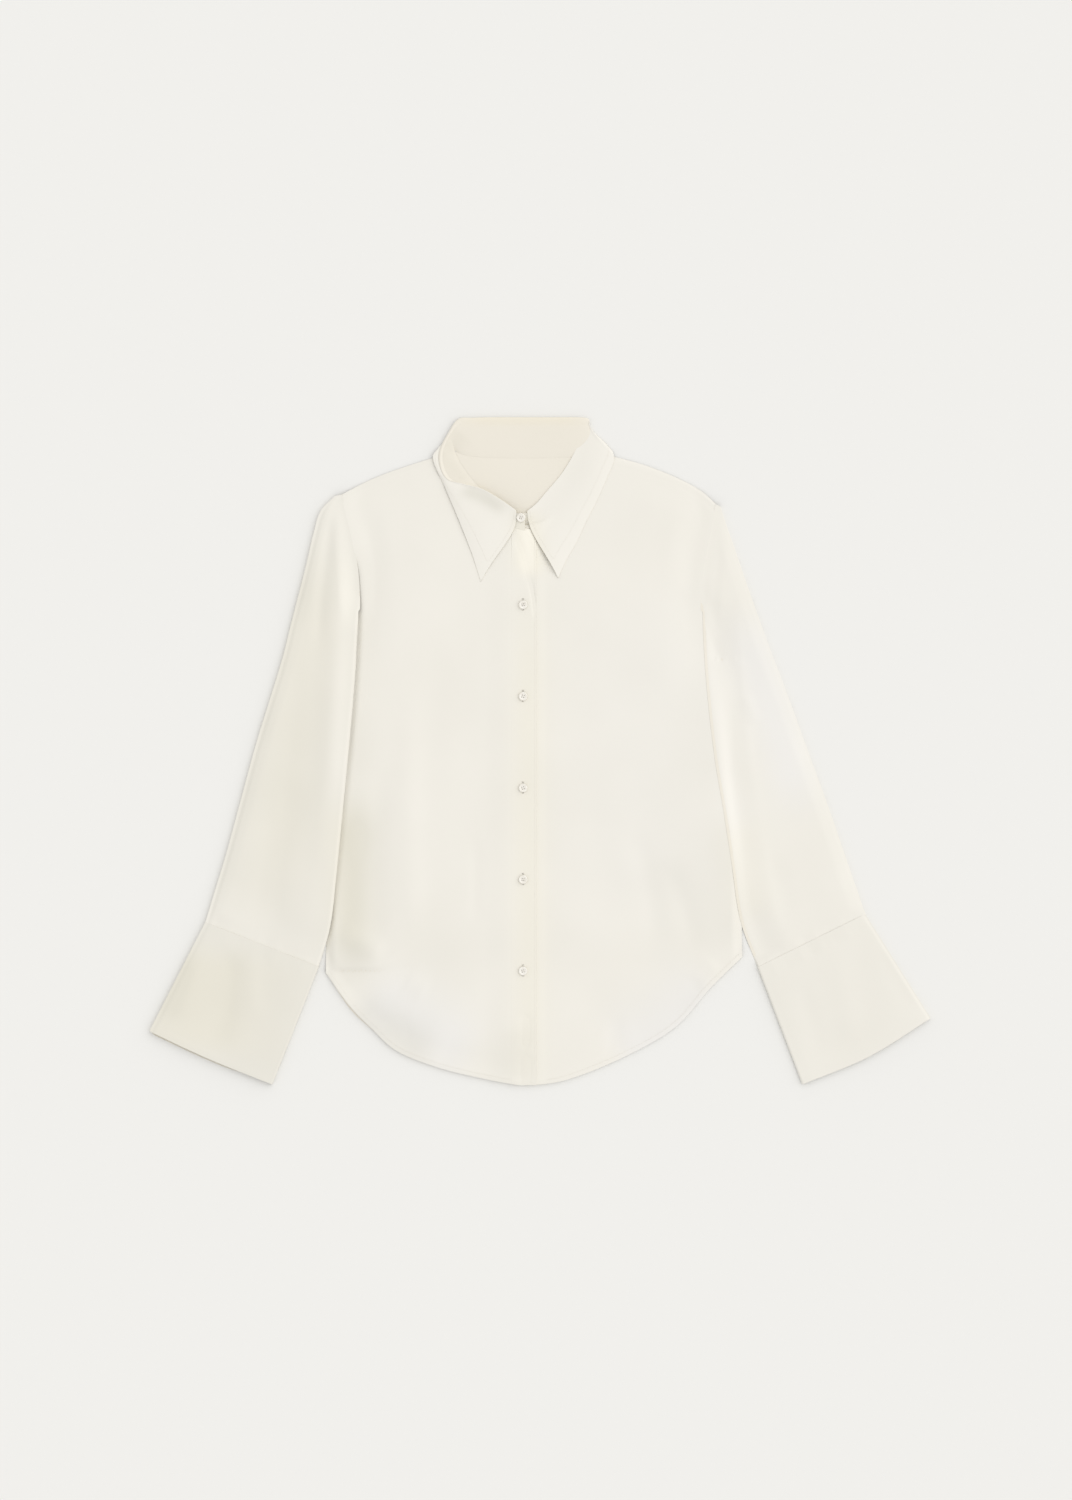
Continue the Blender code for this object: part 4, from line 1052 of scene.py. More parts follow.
def cuff(hand, finishes, rows=56, columns=13):
    seam, opening, down, bow = cuff_frame(hand)
    seam = seam + down * SEAM
    middle = opening.mean(axis=0) + down * bow
    grid = patch(through(seam, columns), through((opening[0], middle, opening[1]), columns),
                 through((seam[0], opening[0]), rows + 1), through((seam[1], opening[1]), rows + 1))
    lower_puckers = [(share, CUFF_PUCKER * height, reach) for share, height, reach in PUCKERS]
    creases = CUFF_CREASES[hand] + pucker_creases(*seam, -down, lower_puckers)
    seam_middle = seam.mean(axis=0)
    depth = float(np.dot(opening.mean(axis=0) - seam_middle, down))

    def upper_z(x, y, from_inner, from_outer, is_open):
        rim = EDGE_WIDTH[hand]
        drop = CUFF_DROP * fade((from_inner + NEAR_FOLD) / CUFF_ROLL)
        puff = smooth(np.minimum(from_inner, from_outer - rim) / CUFF_PUFF_RUN)
        below = (x - seam_middle[0]) * down[0] + (y - seam_middle[1]) * down[1]
        height, inward, reach = CUFF_HEM
        turned_edge = height * bell(below - depth + inward, reach)
        bulge = CUFF_LIFT + creased(x, y, creases) + ripple(x, y) + turned_edge
        full = blend(CUFF_EDGE[hand], CUFF_FULL[hand], smooth((from_outer - rim) / EDGE_STEP[hand]))
        return full + puff * bulge - drop

    def lower_z(x, y):
        return np.full_like(x, TUBE_CLEAR)

    def moved(top, bottom, run, width):
        """The upper layer laps over the sleeve. The right cuff's lower one shows at the opening."""
        top[0, :, :2] -= down * CUFF_OVERLAP
        if hand == 0:
            share = smooth(((run / width)[-1] - UNDERLAP_FROM) / UNDERLAP_RUN)
            inner_end, outer_end = UNDERLAP_ENDS
            lap = CUFF_UNDERLAP * blend(UNDERLAP_LEAST, 1.0, share)
            lap = lap * smooth(run[-1] / inner_end) * smooth((width[-1] - run[-1]) / outer_end)
            bottom[-1, :, :2] += down * lap[:, None]

    piece = tube(f"cuff_{HANDS[hand]}_shell", grid, FIRM_SILK, upper_z, lower_z, finishes, 0, moved,
                 CUFF_PAINTED_SHADE_TONE[hand], CUFF_PAINTED_SHADING[hand])
    declare(piece, f"cuff_{HANDS[hand]}")


# ---------------------------------------------------------------- collar


def stretch(place, start, start_run, end, end_run):
    """1 along a stretch of the collar, with a soft start and end."""
    return smooth((place - start) / start_run) * smooth((end - place) / end_run)


def neck_seam(values):
    """Points where the stand starts, just inside the neck edges, with the height of the wall."""
    lines = (through(NECK_LEFT[::-1], 160), through(NECK_BACK, 160),
             through((*NECK_RIGHT, *NECK_BAND[1:]), 160))
    points = []
    for value in values:
        part = min(int(value), 2)
        edge = along(lines[part], value - part)
        leans_out = stretch(value, *LEAN_STRETCH)
        inside = SEAM_INSIDE + STAND_LEAN * leans_out
        start = edge + unit(np.array(NECK_AIM) - edge) * inside
        on_band = smooth((value - NEAR_BAND) / NEAR_BAND_RUN)
        foot = blend(STAND_FOOT, band_level(*start) + BAND_STEP, on_band)
        points.append((*start, foot + LEAN_RISE * leans_out))
    return np.array(points)


def resting(x, y):
    """Lowest height for the middle of the collar's wall: clear of the floor and the fronts."""
    on_body = smooth((top_edge_y(x) + TABLE_TO_BODY + OFF_EDGE - y) / TABLE_TO_BODY)
    past_neck = np.maximum(x - x_at(NECK_LEFT, y), x_at(NECK_RIGHT, y) - x)
    past_neck = np.maximum(past_neck, NECK_BAND[0][1] - y)
    on_body = on_body * smooth((past_neck + NECK_CLIMB) / (NECK_CLIMB + OFF_EDGE))
    before, after, run = BAND_NEAR
    on_band = smooth((x - BAND_LEFT + before) / BAND_RAMP) * smooth((BAND_RIGHT + after - x) / run)
    return COLLAR_SILK / 2 + COLLAR_CLEAR + (front_level(x, y) + (WALL + SEAM) * on_band) * on_body


def spread(rows, count):
    """A table's rows turned into that many sections, smooth along the collar."""
    rows = np.array(rows, float)
    return through(rows[:, [1, 2, 3, *range(4, rows.shape[1]), 0]], count)


def stand_table():
    """The leaf's sections, with the stand's two free ends beyond them."""
    leaf = spread(COLLAR, COLLAR_SECTIONS)[:, [0, 1, 2, -1]]
    left, right = (np.array([[*end[1:], end[0]]]) for end in (STAND_LEFT_END, STAND_RIGHT_END))
    shares = np.linspace(0.0, 1.0, END_SECTIONS, endpoint=False)[:, None]
    return np.concatenate([left + shares * (leaf[:1] - left), leaf,
                           (right + shares * (leaf[-1:] - right))[::-1]])


def collar_sections(table):
    """Seam point, fold point, direction of the rise and direction out, for each section."""
    fold = table[:, :3]
    seam = neck_seam(table[:, -1])
    rise = unit(fold - seam)
    out = unit(np.cross(np.gradient(fold, axis=0), rise))
    return seam, fold, rise, out


def thickened(middle, thickness):
    """Both faces of a wall about a grid of points in its middle."""
    normal = unit(np.cross(np.gradient(middle, axis=0), np.gradient(middle, axis=1)))
    return middle + normal * thickness / 2, middle - normal * thickness / 2


def unrolled(middle):
    """Where each point of a curved strip was on the flat cloth."""
    along_strip = np.linalg.norm(np.diff(middle[:, -1], axis=0), axis=1)
    across_strip = np.linalg.norm(np.diff(middle, axis=1), axis=2)
    u = np.concatenate([[0.0], np.cumsum(along_strip)])[:, None]
    v = np.cumsum(np.concatenate([np.zeros((len(middle), 1)), across_strip], axis=1), axis=1)
    return np.stack([np.broadcast_to(u, v.shape), v], axis=-1)


def stand_middle(columns=12):
    seam, fold, _, _ = collar_sections(stand_table())
    shares = np.linspace(0.0, STAND_SHARE, columns)[None, :, None]
    return seam[:, None] + shares * (fold - seam)[:, None]


def leaf_middle(turn_points=TURN_POINTS, leaf_points=30):
    """The middle of the leaf's wall: up inside, round the fold and down over the body."""
    table = spread(COLLAR, COLLAR_SECTIONS)
    seam, fold, rise, out = collar_sections(table)
    place = table[:, -1:]
    height = np.linalg.norm(fold - seam, axis=1, keepdims=True)
    joint = seam + rise * STAND_SHARE * height + out * UNDER_JOINT
    radius = FOLD_RADIUS + FOLD_ROUNDER * stretch(place, *ROUND_STRETCH)
    centre = fold - rise * radius + out * radius
    columns = [joint + rise * step for step in JOINT_STEPS]
    columns.append((joint + centre - out * radius) / 2.0)
    for angle in np.linspace(0.0, np.pi, turn_points):
        columns.append(centre - out * radius * np.cos(angle) + rise * radius * np.sin(angle))
    turned = columns[-1]
    level = resting(table[:, 3], table[:, 4])[:, None]
    level = level + SIDE_FLOAT * stretch(place, *SIDE_STRETCH)
    level = level + FRONT_FLOAT * stretch(place, *FRONT_STRETCH)
    edge = np.concatenate([table[:, 3:5], level], axis=1)
    reach = np.linalg.norm(edge - turned, axis=1, keepdims=True)
    first = turned - rise * LEAF_DROP * reach
    second = edge + LEAF_FLAT * (turned - edge) * np.array([1.0, 1.0, LEAF_HOLD])
    second[:, 2] += table[:, 5]
    for t in np.linspace(0.0, 1.0, leaf_points + 1)[1:]:
        columns.append((1 - t) ** 3 * turned + 3 * (1 - t) ** 2 * t * first
                       + 3 * (1 - t) * t**2 * second + t**3 * edge)
    middle = np.stack(columns, axis=1)
    leaf = middle[:, turn_points + 3:]
    leaf[..., 2] = np.maximum(leaf[..., 2], resting(leaf[..., 0], leaf[..., 1]))
    return middle


def collar_piece(node, middle, from_edge, finishes, tone, painted_shading, painted_shade_columns=0):
    """A curved strip of the collar, thinner near an edge."""
    place = unrolled(middle)
    thickness = blend(STAND_EDGE, COLLAR_SILK, smooth(from_edge))
    piece = shell(f"{node}_shell", *thickened(middle, thickness), place, finishes, None, tone,
                  painted_shading, painted_shade_columns=painted_shade_columns)
    declare(piece, node)


def collar(face, reverse):
    stand, leaf = stand_middle(), leaf_middle()
    across = unrolled(stand)[..., 1:]
    from_seam = np.minimum(across, (across[:, -1:] - across) * 2.0) / STAND_EDGE_RUN
    collar_piece("collar_stand", stand, from_seam, (face, reverse), EVEN_TONE,
                 STAND_PAINTED_SHADING)
    from_joint = unrolled(leaf)[..., 1:] / LEAF_EDGE_RUN
    # Painted shade: up to the top of its fold the leaf shows the dull side's deeper, warmer colour.
    collar_piece("collar_leaf", leaf, from_joint, (reverse, face), LEAF_PAINTED_LIGHT_TONE,
                 LEAF_PAINTED_SHADING, 2 + TURN_POINTS // 2)


# ---------------------------------------------------------------- node helpers


def feed(tree, node, inputs):
    """Gives each of a node's inputs a value or another node's output."""
    for key, value in inputs.items():
        if isinstance(value, bpy.types.NodeSocket):
            tree.links.new(value, node.inputs[key])
        else:
            node.inputs[key].default_value = value


def add(tree, kind, inputs=None, **settings):
    """Adds a node with its settings and inputs."""
    node = tree.nodes.new(kind)
    for key, value in settings.items():
        setattr(node, key, value)
    feed(tree, node, inputs or {})
    return node


def figure(tree, operation, first, second, **settings):
    """The output of a node that does one sum."""
    return add(tree, "ShaderNodeMath", {0: first, 1: second}, operation=operation,
               **settings).outputs[0]


def new_finish(name):
    """An empty finish, with its tree and its shader."""
    made = bpy.data.materials.new(name)
    made.use_nodes = True
    return made, made.node_tree, made.node_tree.nodes["Principled BSDF"]


def new_group(name, kind, inputs, outputs):
    """An empty node group with named sockets. Columns of both: name, socket type, value."""
    tree = bpy.data.node_groups.new(name, kind)
    for direction, rows in (("INPUT", inputs), ("OUTPUT", outputs)):
        for label, socket_type, *value in rows:
            socket = tree.interface.new_socket(label, in_out=direction, socket_type=socket_type)
            if value:
                socket.default_value = value[0]
    return tree, tree.nodes.new("NodeGroupInput").outputs, tree.nodes.new("NodeGroupOutput").inputs


def use_group(tree, group, inputs):
    return add(tree, "ShaderNodeGroup", inputs, node_tree=group).outputs


# ---------------------------------------------------------------- finishes


def weave_group():
    """Fine threads of the silk, with a few thicker ones, as a height."""
    tree, given, made = new_group(
        "silk weave", "ShaderNodeTree",
        (("Place", "NodeSocketVector"), ("Pitch", "NodeSocketFloat", YARN_PITCH),
         ("Slub", "NodeSocketFloat", 0.4)),
        (("Height", "NodeSocketFloat"), ("Lustre", "NodeSocketFloat")))
    scale = figure(tree, "DIVIDE", np.pi / 10.0, given["Pitch"])
    yarns = [add(tree, "ShaderNodeTexWave", {"Vector": given["Place"], "Scale": scale},
                 bands_direction=direction).outputs["Fac"] for direction in ("X", "Y")]
    drawn_out = add(tree, "ShaderNodeMapping",
                    {"Vector": given["Place"], "Scale": (900.0, 60.0, 1.0)})
    slubs = add(tree, "ShaderNodeTexNoise",
                {"Vector": drawn_out.outputs[0], "Scale": 1.0, "Detail": 2.0})
    slub_height = figure(tree, "MULTIPLY", slubs.outputs["Fac"], given["Slub"])
    height = figure(tree, "ADD", figure(tree, "MAXIMUM", *yarns), slub_height)
    soft = add(tree, "ShaderNodeTexNoise", {"Vector": given["Place"], "Scale": 24.0, "Detail": 3.0})
    tree.links.new(height, made["Height"])
    tree.links.new(soft.outputs["Fac"], made["Lustre"])
    return tree


def tone_group():
    """Faint random changes of colour over a piece, with its painted shade and light and the painted
    warmth of shade.
    """
    tree, given, made = new_group(
        "soft tone", "ShaderNodeTree",
        (("Place", "NodeSocketVector"), ("Pale", "NodeSocketColor"), ("Deep", "NodeSocketColor"),
         ("Size", "NodeSocketFloat", 9.0), ("Depth", "NodeSocketFloat", 0.5),
         ("Blush", "NodeSocketFloat", 0.5)),
        (("Colour", "NodeSocketColor"),))
    noise = add(tree, "ShaderNodeTexNoise",
                {"Vector": given["Place"], "Scale": given["Size"], "Detail": 2.0})
    cloudy = add(tree, "ShaderNodeMapRange",
                 {"Value": noise.outputs["Fac"], "From Min": 0.3, "From Max": 0.7,
                  "To Min": -0.05, "To Max": 0.05})
    share = figure(tree, "ADD", cloudy.outputs[0], given["Depth"], use_clamp=True)
    first, second, result = 6, 7, 2  # the colour sockets of a mix
    shade = add(tree, "ShaderNodeMix",
                {"Factor": share, first: given["Pale"], second: given["Deep"]}, data_type="RGBA")
    hue = add(tree, "ShaderNodeMix", {"Factor": given["Blush"], first: COOL, second: WARM},
              data_type="RGBA")
    tinted = add(tree, "ShaderNodeMix",
                 {"Factor": 1.0, first: shade.outputs[result], second: hue.outputs[result]},
                 data_type="RGBA", blend_type="MULTIPLY")
    tree.links.new(tinted.outputs[result], made["Colour"])
    return tree


def silk(name, weave, tone, colour, roughness, sheen, bump):
    """A silk finish. The cloth's own map carries the weave; its "tone" carries painted shade and
    light, and its "shade_warmth" the painted warmth of shade.
    """
    pale, deep = ([share * part for share, part in zip(shares, colour)] + [1.0]
                  for shares in (PALER, DEEPER))
    made, tree, shader = new_finish(name)
    cloth = add(tree, "ShaderNodeUVMap", uv_map="cloth").outputs[0]
    threads = use_group(tree, weave, {"Place": cloth, "Pitch": YARN_PITCH, "Slub": 0.5})
    place = add(tree, "ShaderNodeTexCoord").outputs["Object"]
    depth, shade_warmth = (add(tree, "ShaderNodeAttribute", attribute_name=label).outputs["Fac"]
                    for label in ("tone", "shade_warmth"))
    colours = use_group(tree, tone, {"Place": place, "Pale": pale, "Deep": deep, "Size": 9.0,
                                     "Depth": depth, "Blush": shade_warmth})
    rough = add(tree, "ShaderNodeMapRange",
                {"Value": threads["Lustre"], "From Min": 0.3, "From Max": 0.7,
                 "To Min": roughness - 0.05, "To Max": roughness + 0.05})
    relief = add(tree, "ShaderNodeBump",
                 {"Height": threads["Height"], "Strength": bump, "Distance": 0.00005})
    feed(tree, shader, {"Base Color": colours["Colour"], "Roughness": rough.outputs[0],
                        "Normal": relief.outputs[0], "Sheen Weight": sheen,
                        "Sheen Roughness": 0.45, "Specular IOR Level": 0.4})
    return made


def thread_finish(tone):
    made, tree, shader = new_finish("silk thread")
    place = add(tree, "ShaderNodeTexCoord").outputs["Object"]
    colours = use_group(tree, tone, {"Place": place, "Pale": PALE_THREAD, "Deep": DEEP_THREAD,
                                     "Size": 300.0, "Depth": 0.5})
    feed(tree, shader, {"Base Color": colours["Colour"], "Roughness": 0.5})
    return made


def pearl_finish():
    """Cut shell: fine growth lines, a faint play of colour and a polished face."""
    made, tree, shader = new_finish("pearl shell")
    place = add(tree, "ShaderNodeTexCoord").outputs["Object"]
    lines = add(tree, "ShaderNodeTexWave",
                {"Vector": place, "Scale": 130.0, "Distortion": 5.0, "Detail": 3.0,
                 "Detail Scale": 2.0}, wave_type="BANDS")
    clouds = add(tree, "ShaderNodeTexNoise", {"Vector": place, "Scale": 420.0, "Detail": 3.0})
    ramp = add(tree, "ShaderNodeValToRGB", {"Fac": clouds.outputs["Fac"]})
    stops = ramp.color_ramp.elements
    stops.new(PEARL[1][0])
    for stop, (share, colour) in zip(stops, PEARL):
        stop.position = share
        stop.color = colour
    relief = add(tree, "ShaderNodeBump",
                 {"Height": lines.outputs["Fac"], "Strength": 0.12, "Distance": 0.0001})
    feed(tree, shader, {"Base Color": ramp.outputs[0], "Normal": relief.outputs[0],
                        "Roughness": 0.22, "Coat Weight": 0.6, "Coat Roughness": 0.08})
    return made


def floor_finish():
    made, tree, shader = new_finish("pale floor")
    feed(tree, shader, {"Base Color": FLOOR_COLOUR, "Roughness": 0.9, "Specular IOR Level": 0.1})
    return made


# ---------------------------------------------------------------- sewing


def stitch_tree():
    """Lays one stitch after another along a line."""
    tree, given, made = new_group(
        "running stitch", "GeometryNodeTree",
        (("Line", "NodeSocketGeometry"), ("Stitch length", "NodeSocketFloat", STITCH * MM),
         ("Gap", "NodeSocketFloat", STITCH_GAP * MM), ("Thread", "NodeSocketFloat", THREAD * MM),
         ("Unevenness", "NodeSocketFloat", UNEVENNESS), ("Seed", "NodeSocketInt", STITCH_SEED),
         ("Finish", "NodeSocketMaterial")),
        (("Stitches", "NodeSocketGeometry"),))
    pitch = figure(tree, "ADD", given["Stitch length"], given["Gap"])
    points = add(tree, "GeometryNodeCurveToPoints", {"Curve": given["Line"], "Length": pitch},
                 mode="LENGTH")
    bead = add(tree, "GeometryNodeMeshUVSphere", {"Segments": 6, "Rings": 5, "Radius": 0.5})
    size = add(tree, "ShaderNodeCombineXYZ",
               {"X": given["Thread"], "Y": given["Thread"], "Z": given["Stitch length"]})
    stitch = add(tree, "GeometryNodeTransform",
                 {"Geometry": bead.outputs["Mesh"], "Scale": size.outputs[0]})
    least = figure(tree, "SUBTRACT", 1.0, given["Unevenness"])
    uneven = add(tree, "FunctionNodeRandomValue", {2: least, 3: 1.0, "Seed": given["Seed"]},
                 data_type="FLOAT")
    laid = add(tree, "GeometryNodeInstanceOnPoints",
               {"Points": points.outputs["Points"], "Instance": stitch.outputs[0],
                "Rotation": points.outputs["Rotation"], "Scale": uneven.outputs[1]})
    real = add(tree, "GeometryNodeRealizeInstances", {"Geometry": laid.outputs[0]})
    shaded = add(tree, "GeometryNodeSetMaterial",
                 {"Geometry": real.outputs[0], "Material": given["Finish"]})
    tree.links.new(shaded.outputs[0], made["Stitches"])
    return tree


def curve_object(name, lines):
    """An open curve through each of the lines, given in millimetres."""
    curve = bpy.data.curves.new(name, "CURVE")
    curve.dimensions = "3D"
    for line in lines:
        spline = curve.splines.new("POLY")
        spline.points.add(len(line) - 1)
        flat = np.concatenate([np.asarray(line) * MM, np.ones((len(line), 1))], axis=1)
        spline.points.foreach_set("co", flat.ravel())
    return mesh_object(name, curve)


def plain_mesh(name, source):
    """The finished form of an object as a plain mesh. The source is removed."""
    graph = bpy.context.evaluated_depsgraph_get()
    mesh = bpy.data.meshes.new_from_object(source.evaluated_get(graph), depsgraph=graph)
    bpy.data.objects.remove(source)
    mesh.name = name
    mesh.shade_smooth()
    return mesh_object(name, mesh)


def stitching(name, lines, tree, finish):
    source = curve_object(name + "_line", lines)
    modifier = source.modifiers.new("stitches", "NODES")
    modifier.node_group = tree
    sockets = {item.name: item.identifier for item in tree.interface.items_tree
               if item.in_out == "INPUT"}
    for label, value in (("Finish", finish), ("Stitch length", STITCH * MM),
                         ("Gap", STITCH_GAP * MM), ("Thread", THREAD * MM),
                         ("Unevenness", UNEVENNESS), ("Seed", STITCH_SEED)):
        modifier[sockets[label]] = value
    declare(plain_mesh(name, source), None)


def thread_work(name, lines, diameter, finish):
    """Continuous threads, such as a buttonhole's edge."""
    source = curve_object(name + "_line", lines)
    source.data.bevel_depth = diameter / 2.0 * MM
    source.data.bevel_resolution = 1
    source.data.use_fill_caps = True
    piece = plain_mesh(name, source)
    piece.data.materials.clear()
    piece.data.materials.append(finish)
    declare(piece, None)


def on_top(x, y, level):
    """A line laid on a level, with half a thread showing above it."""
    return np.stack([x, y, level(x, y) + STITCH_PROUD], axis=1)


def offset_line(line, distance):
    """A flat line moved to its left by a distance."""
    ahead = unit(np.gradient(line, axis=0))
    return line + np.stack([-ahead[:, 1], ahead[:, 0]], axis=1) * distance


def band_stitch_line():
    x = BAND_RIGHT - BAND_STITCH_IN
    below, above = BAND_STITCH_ENDS
    ys = np.linspace(float(y_at(HEM, x)) + below, float(y_at(NECK_BAND, x)) - above, 260)
    return on_top(np.full_like(ys, x), ys, lambda u, v: band_level(u, v) - BAND_STITCH_DENT[0])


def hem_stitch_lines():
    """The hem's stitching on both fronts, up to the band."""
    def level(x, y):
        up_to_band = (WALL + SEAM) * smooth((x - BAND_LEFT + BAND_RAMP) / BAND_RAMP)
        hem = HEM_ROLL + HEM_RISE * HEM_STITCH_RISE
        return front_level(x, y) + hem + up_to_band * (x < BAND_LEFT)

    x, y = offset_line(through(HEM, 420), HEM_WIDTH - HEM_STITCH_IN).T
    at_seam, at_band = HEM_STITCH_ENDS
    right = (x > HEM[0][0] + at_seam) & (x < BAND_LEFT - at_band)
    left = (x > BAND_RIGHT + at_band) & (x < HEM[-1][0] - at_seam)
    return [on_top(x[part], y[part], level) for part in (right, left)]


def leaf_stitch_line():
    """Edge stitching round the collar's leaf, from fold to fold."""
    middle = leaf_middle()
    upper, lower = thickened(middle, COLLAR_SILK)
    face = upper if upper[40, -8, 2] > lower[40, -8, 2] else lower
    face = face + unit(face - middle) * STITCH_PROUD
    fold_column, edge_column = 16, -6
    first, last = 2, len(face) - 3
    run = np.concatenate([face[first, fold_column:edge_column], face[first:last, edge_column],
                          face[last, fold_column:edge_column][::-1]])
    return along(run, np.linspace(0.0, 1.0, 500))


def buttonhole_lines():
    """A zigzag round each slit of the band, with a bar across both ends."""
    lines = []
    for node in BUTTON_NODES:
        middle = button_middle(node)
        foot = middle[1] - BUTTONHOLE_BELOW
        for side in SIDES:
            ys = np.linspace(foot, foot + BUTTONHOLE, BUTTONHOLE_TURNS)
            reach = BUTTONHOLE_SLIT + BUTTONHOLE_BAR * (np.arange(BUTTONHOLE_TURNS) % 2)
            lines.append(on_top(middle[0] + side * reach, ys, band_level))
        for end in (foot - BAR_OUT, foot + BUTTONHOLE + BAR_OUT):
            xs = middle[0] + BUTTONHOLE_BAR * np.where(np.arange(BAR_TURNS) % 2, 1.0, -1.0)
            ys = end + np.linspace(-BAR_REACH, BAR_REACH, BAR_TURNS)
            lines.append(on_top(xs, ys, band_level))
    return lines


# ---------------------------------------------------------------- buttons


def button_middle(node):
    low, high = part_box(node)
    return np.array((low + high) / 2.0) / MM


def ring_points(radius, height, sides, middle=(0.0, 0.0)):
    return [(middle[0] + radius * np.cos(a), middle[1] + radius * np.sin(a), height)
            for a in np.linspace(0.0, 2.0 * np.pi, sides, endpoint=False)]


def button_blank(radius, height):
    """A button before its holes are drilled, its underside at z = 0."""
    sides = BUTTON_SIDES
    points, faces = [(0.0, 0.0, 0.0)], []
    for reach, rise in BUTTON_PROFILE[1:-1]:
        points += ring_points(radius * reach, height * rise, sides)
    points.append((0.0, 0.0, height * BUTTON_PROFILE[-1][1]))
    top = len(points) - 1 - sides
    for k in range(sides):
        after = (k + 1) % sides
        faces.append((0, 1 + after, 1 + k))
        for start in range(1, top, sides):
            faces.append((start + k, start + after, start + sides + after, start + sides + k))
        faces.append((top + k, top + after, len(points) - 1))
    return mesh_object("button_blank", new_mesh("button_blank", points, faces))


def button_drill(height):
    """Four round pins where the button's holes go."""
    sides = HOLE_SIDES
    points, faces = [], []
    for x, y in ((1, 1), (-1, 1), (-1, -1), (1, -1)):
        start = len(points)
        for z in (-1.0, height + 1.0):
            points += ring_points(HOLE_RADIUS, z, sides, (x * HOLE_SPREAD, y * HOLE_SPREAD))
        faces.append(tuple(start + k for k in range(sides))[::-1])
        faces.append(tuple(start + sides + k for k in range(sides)))
        for k in range(sides):
            after = (k + 1) % sides
            faces.append((start + k, start + after, start + sides + after, start + sides + k))
    return mesh_object("button_drill", new_mesh("button_drill", points, faces))


def set_down(points, turn, tilt, place):
    """Points turned about Z, then about X, and moved to a place."""
    x, y, z = np.asarray(points, float).T
    x, y = x * np.cos(turn) - y * np.sin(turn), x * np.sin(turn) + y * np.cos(turn)
    y, z = y * np.cos(tilt) - z * np.sin(tilt), y * np.sin(tilt) + z * np.cos(tilt)
    return np.stack([x, y, z], axis=1) + place


def buttons(pearl, thread):
    low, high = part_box(BUTTON_NODES[0])
    height = (high.z - low.z) / MM
    blank = button_blank((high.x - low.x) / MM / 2.0, height)
    drill = button_drill(height)
    holes = blank.modifiers.new("holes", "BOOLEAN")
    holes.operation = "DIFFERENCE"
    holes.object = drill
    holes.solver = "EXACT"
    pattern = plain_mesh("button_pattern", blank)
    bpy.data.objects.remove(drill)
    shape = np.array([v.co for v in pattern.data.vertices]) / MM
    threads = []
    for node, turn in zip((*BUTTON_NODES, "button_neck"), np.radians(BUTTON_TURNS)):
        at_neck = node == "button_neck"
        tilt = NECK_BUTTON_TILT if at_neck else 0.0
        place = button_middle(node) - set_down([(0.0, 0.0, height / 2.0)], 0.0, tilt, 0.0)[0]
        if at_neck:
            place[2] = NECK_BUTTON_LEVEL
        mesh = pattern.data.copy()
        mesh.name = f"pearl_{node}"
        mesh.vertices.foreach_set("co", (set_down(shape, turn, tilt, place) * MM).ravel())
        mesh.materials.clear()
        mesh.materials.append(pearl)
        declare(mesh_object(mesh.name, mesh), node)
        spring = height * BUTTON_DISH + THREAD_SPRING
        for side in SIDES:
            arc = [(HOLE_SPREAD * np.cos(a), spring + THREAD_RISE * np.sin(a))
                   for a in np.linspace(0.0, np.pi, 11)]
            arc = [(arc[0][0], THREAD_FOOT), *arc, (arc[-1][0], THREAD_FOOT)]
            for shift in (-THREAD_APART, THREAD_APART):
                strand = [(side * HOLE_SPREAD + shift, y, z) for y, z in arc]
                threads.append(set_down(strand, turn, tilt, place))
    bpy.data.objects.remove(pattern)
    thread_work("button_threads", threads, THREAD, thread)


# ---------------------------------------------------------------- studio


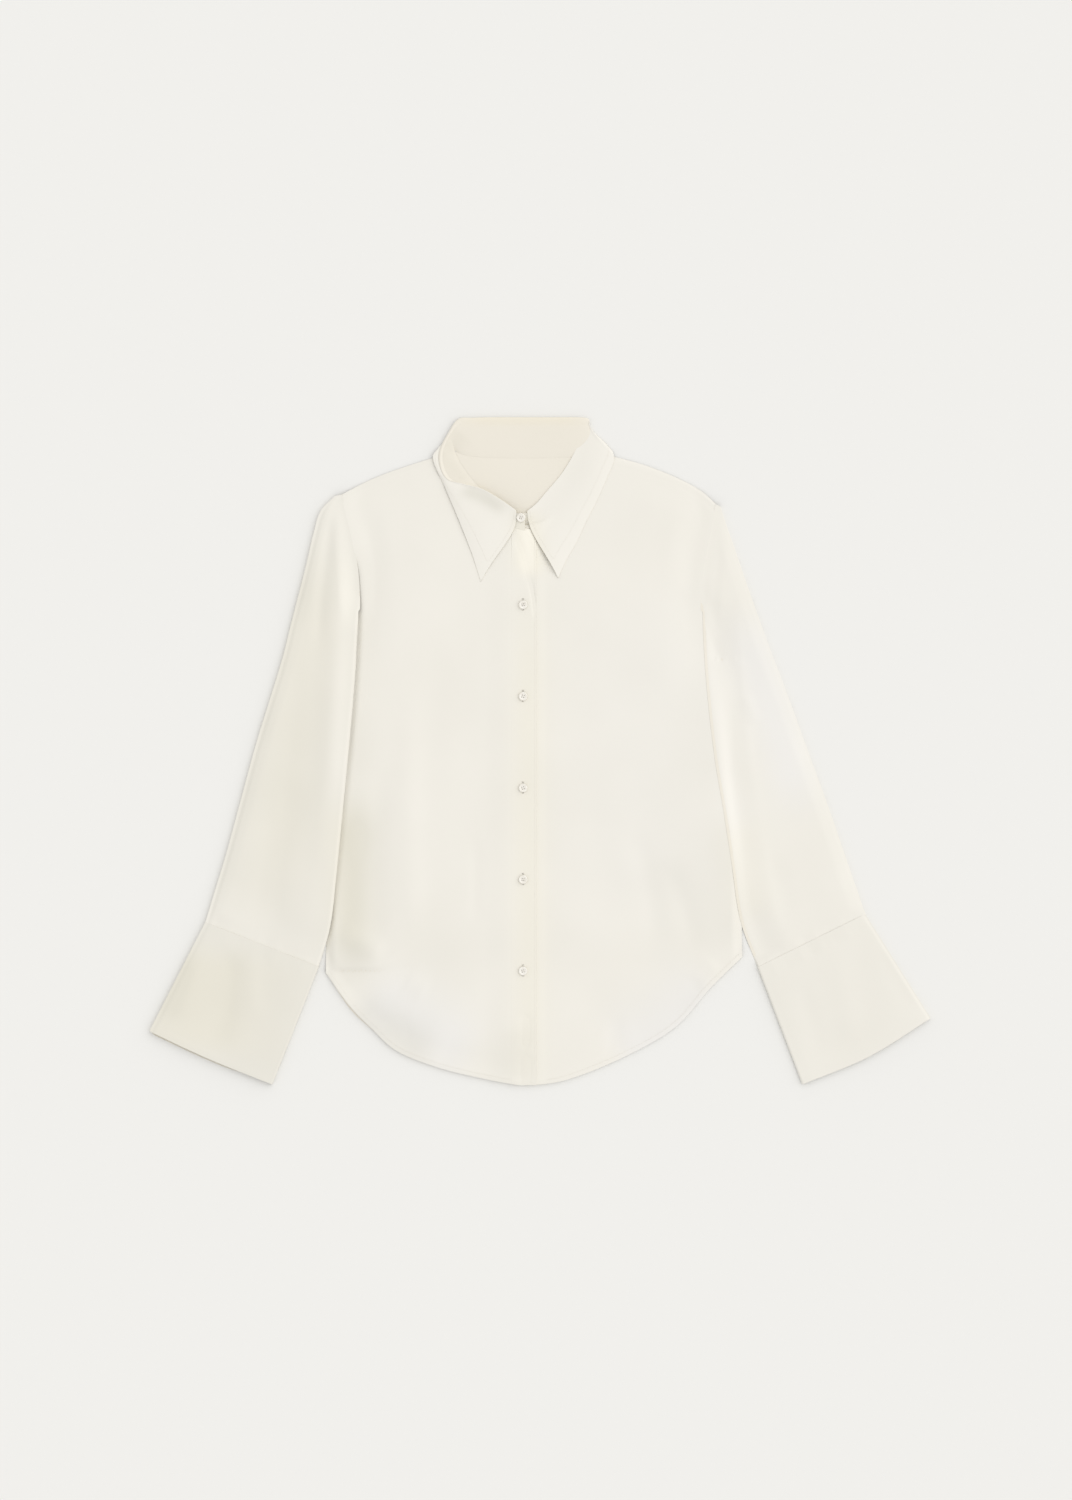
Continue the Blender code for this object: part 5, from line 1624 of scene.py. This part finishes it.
def studio():
    """Pale floor, even light from all round and a broad soft light from the upper right."""
    mesh = bpy.data.meshes.new("floor")
    corners = [(x * FLOOR_REACH, y * FLOOR_REACH, 0.0)
               for x, y in ((-1, -1), (1, -1), (1, 1), (-1, 1))]
    mesh.from_pydata(corners, [], [(0, 1, 2, 3)])
    mesh.materials.append(floor_finish())
    mesh_object("floor", mesh)

    world = bpy.data.worlds.new("studio")
    bpy.context.scene.world = world
    world.use_nodes = True
    background = world.node_tree.nodes["Background"]
    background.inputs["Color"].default_value = ROOM_COLOUR
    background.inputs["Strength"].default_value = ROOM_STRENGTH

    light = bpy.data.lights.new("soft_light", "SUN")
    light.energy = LIGHT_STRENGTH
    light.angle = np.radians(LIGHT_WIDTH)
    light.color = LIGHT_COLOUR
    lamp = mesh_object("soft_light", light)
    lamp.rotation_euler = (0.0, np.radians(LIGHT_TILT), np.radians(LIGHT_HEADING))

    camera = bpy.data.cameras.new("camera")
    camera.lens = LENS
    camera.sensor_width = SENSOR
    camera.clip_end = 50.0
    eye = mesh_object("camera", camera)
    eye.location = (VIEW_CENTRE_X * MM, 0.0, VIEW_LENGTH * MM * LENS / SENSOR)
    bpy.context.scene.camera = eye
    bpy.context.scene.view_settings.view_transform = "Standard"


def build():
    weave, tone = weave_group(), tone_group()
    face = silk("silk satin face", weave, tone, FACE_COLOUR, roughness=0.42, sheen=0.2, bump=0.12)
    reverse = silk("silk dull side", weave, tone, REVERSE_COLOUR, roughness=0.6, sheen=0.15,
                   bump=0.2)
    finishes = (face, reverse)
    thread, pearl = thread_finish(tone), pearl_finish()

    back_panel(finishes)
    for hand in (0, 1):
        front(hand, finishes)
    button_band(finishes)
    for hand in (0, 1):
        sleeve(hand, finishes)
        cuff(hand, finishes)
    collar(face, reverse)

    tree = stitch_tree()
    stitching("band_stitching", [band_stitch_line()], tree, thread)
    stitching("hem_stitching", hem_stitch_lines(), tree, thread)
    stitching("collar_stitching", [leaf_stitch_line()], tree, thread)
    thread_work("buttonholes", buttonhole_lines(), BUTTONHOLE_THREAD, thread)
    buttons(pearl, thread)


studio()
build()
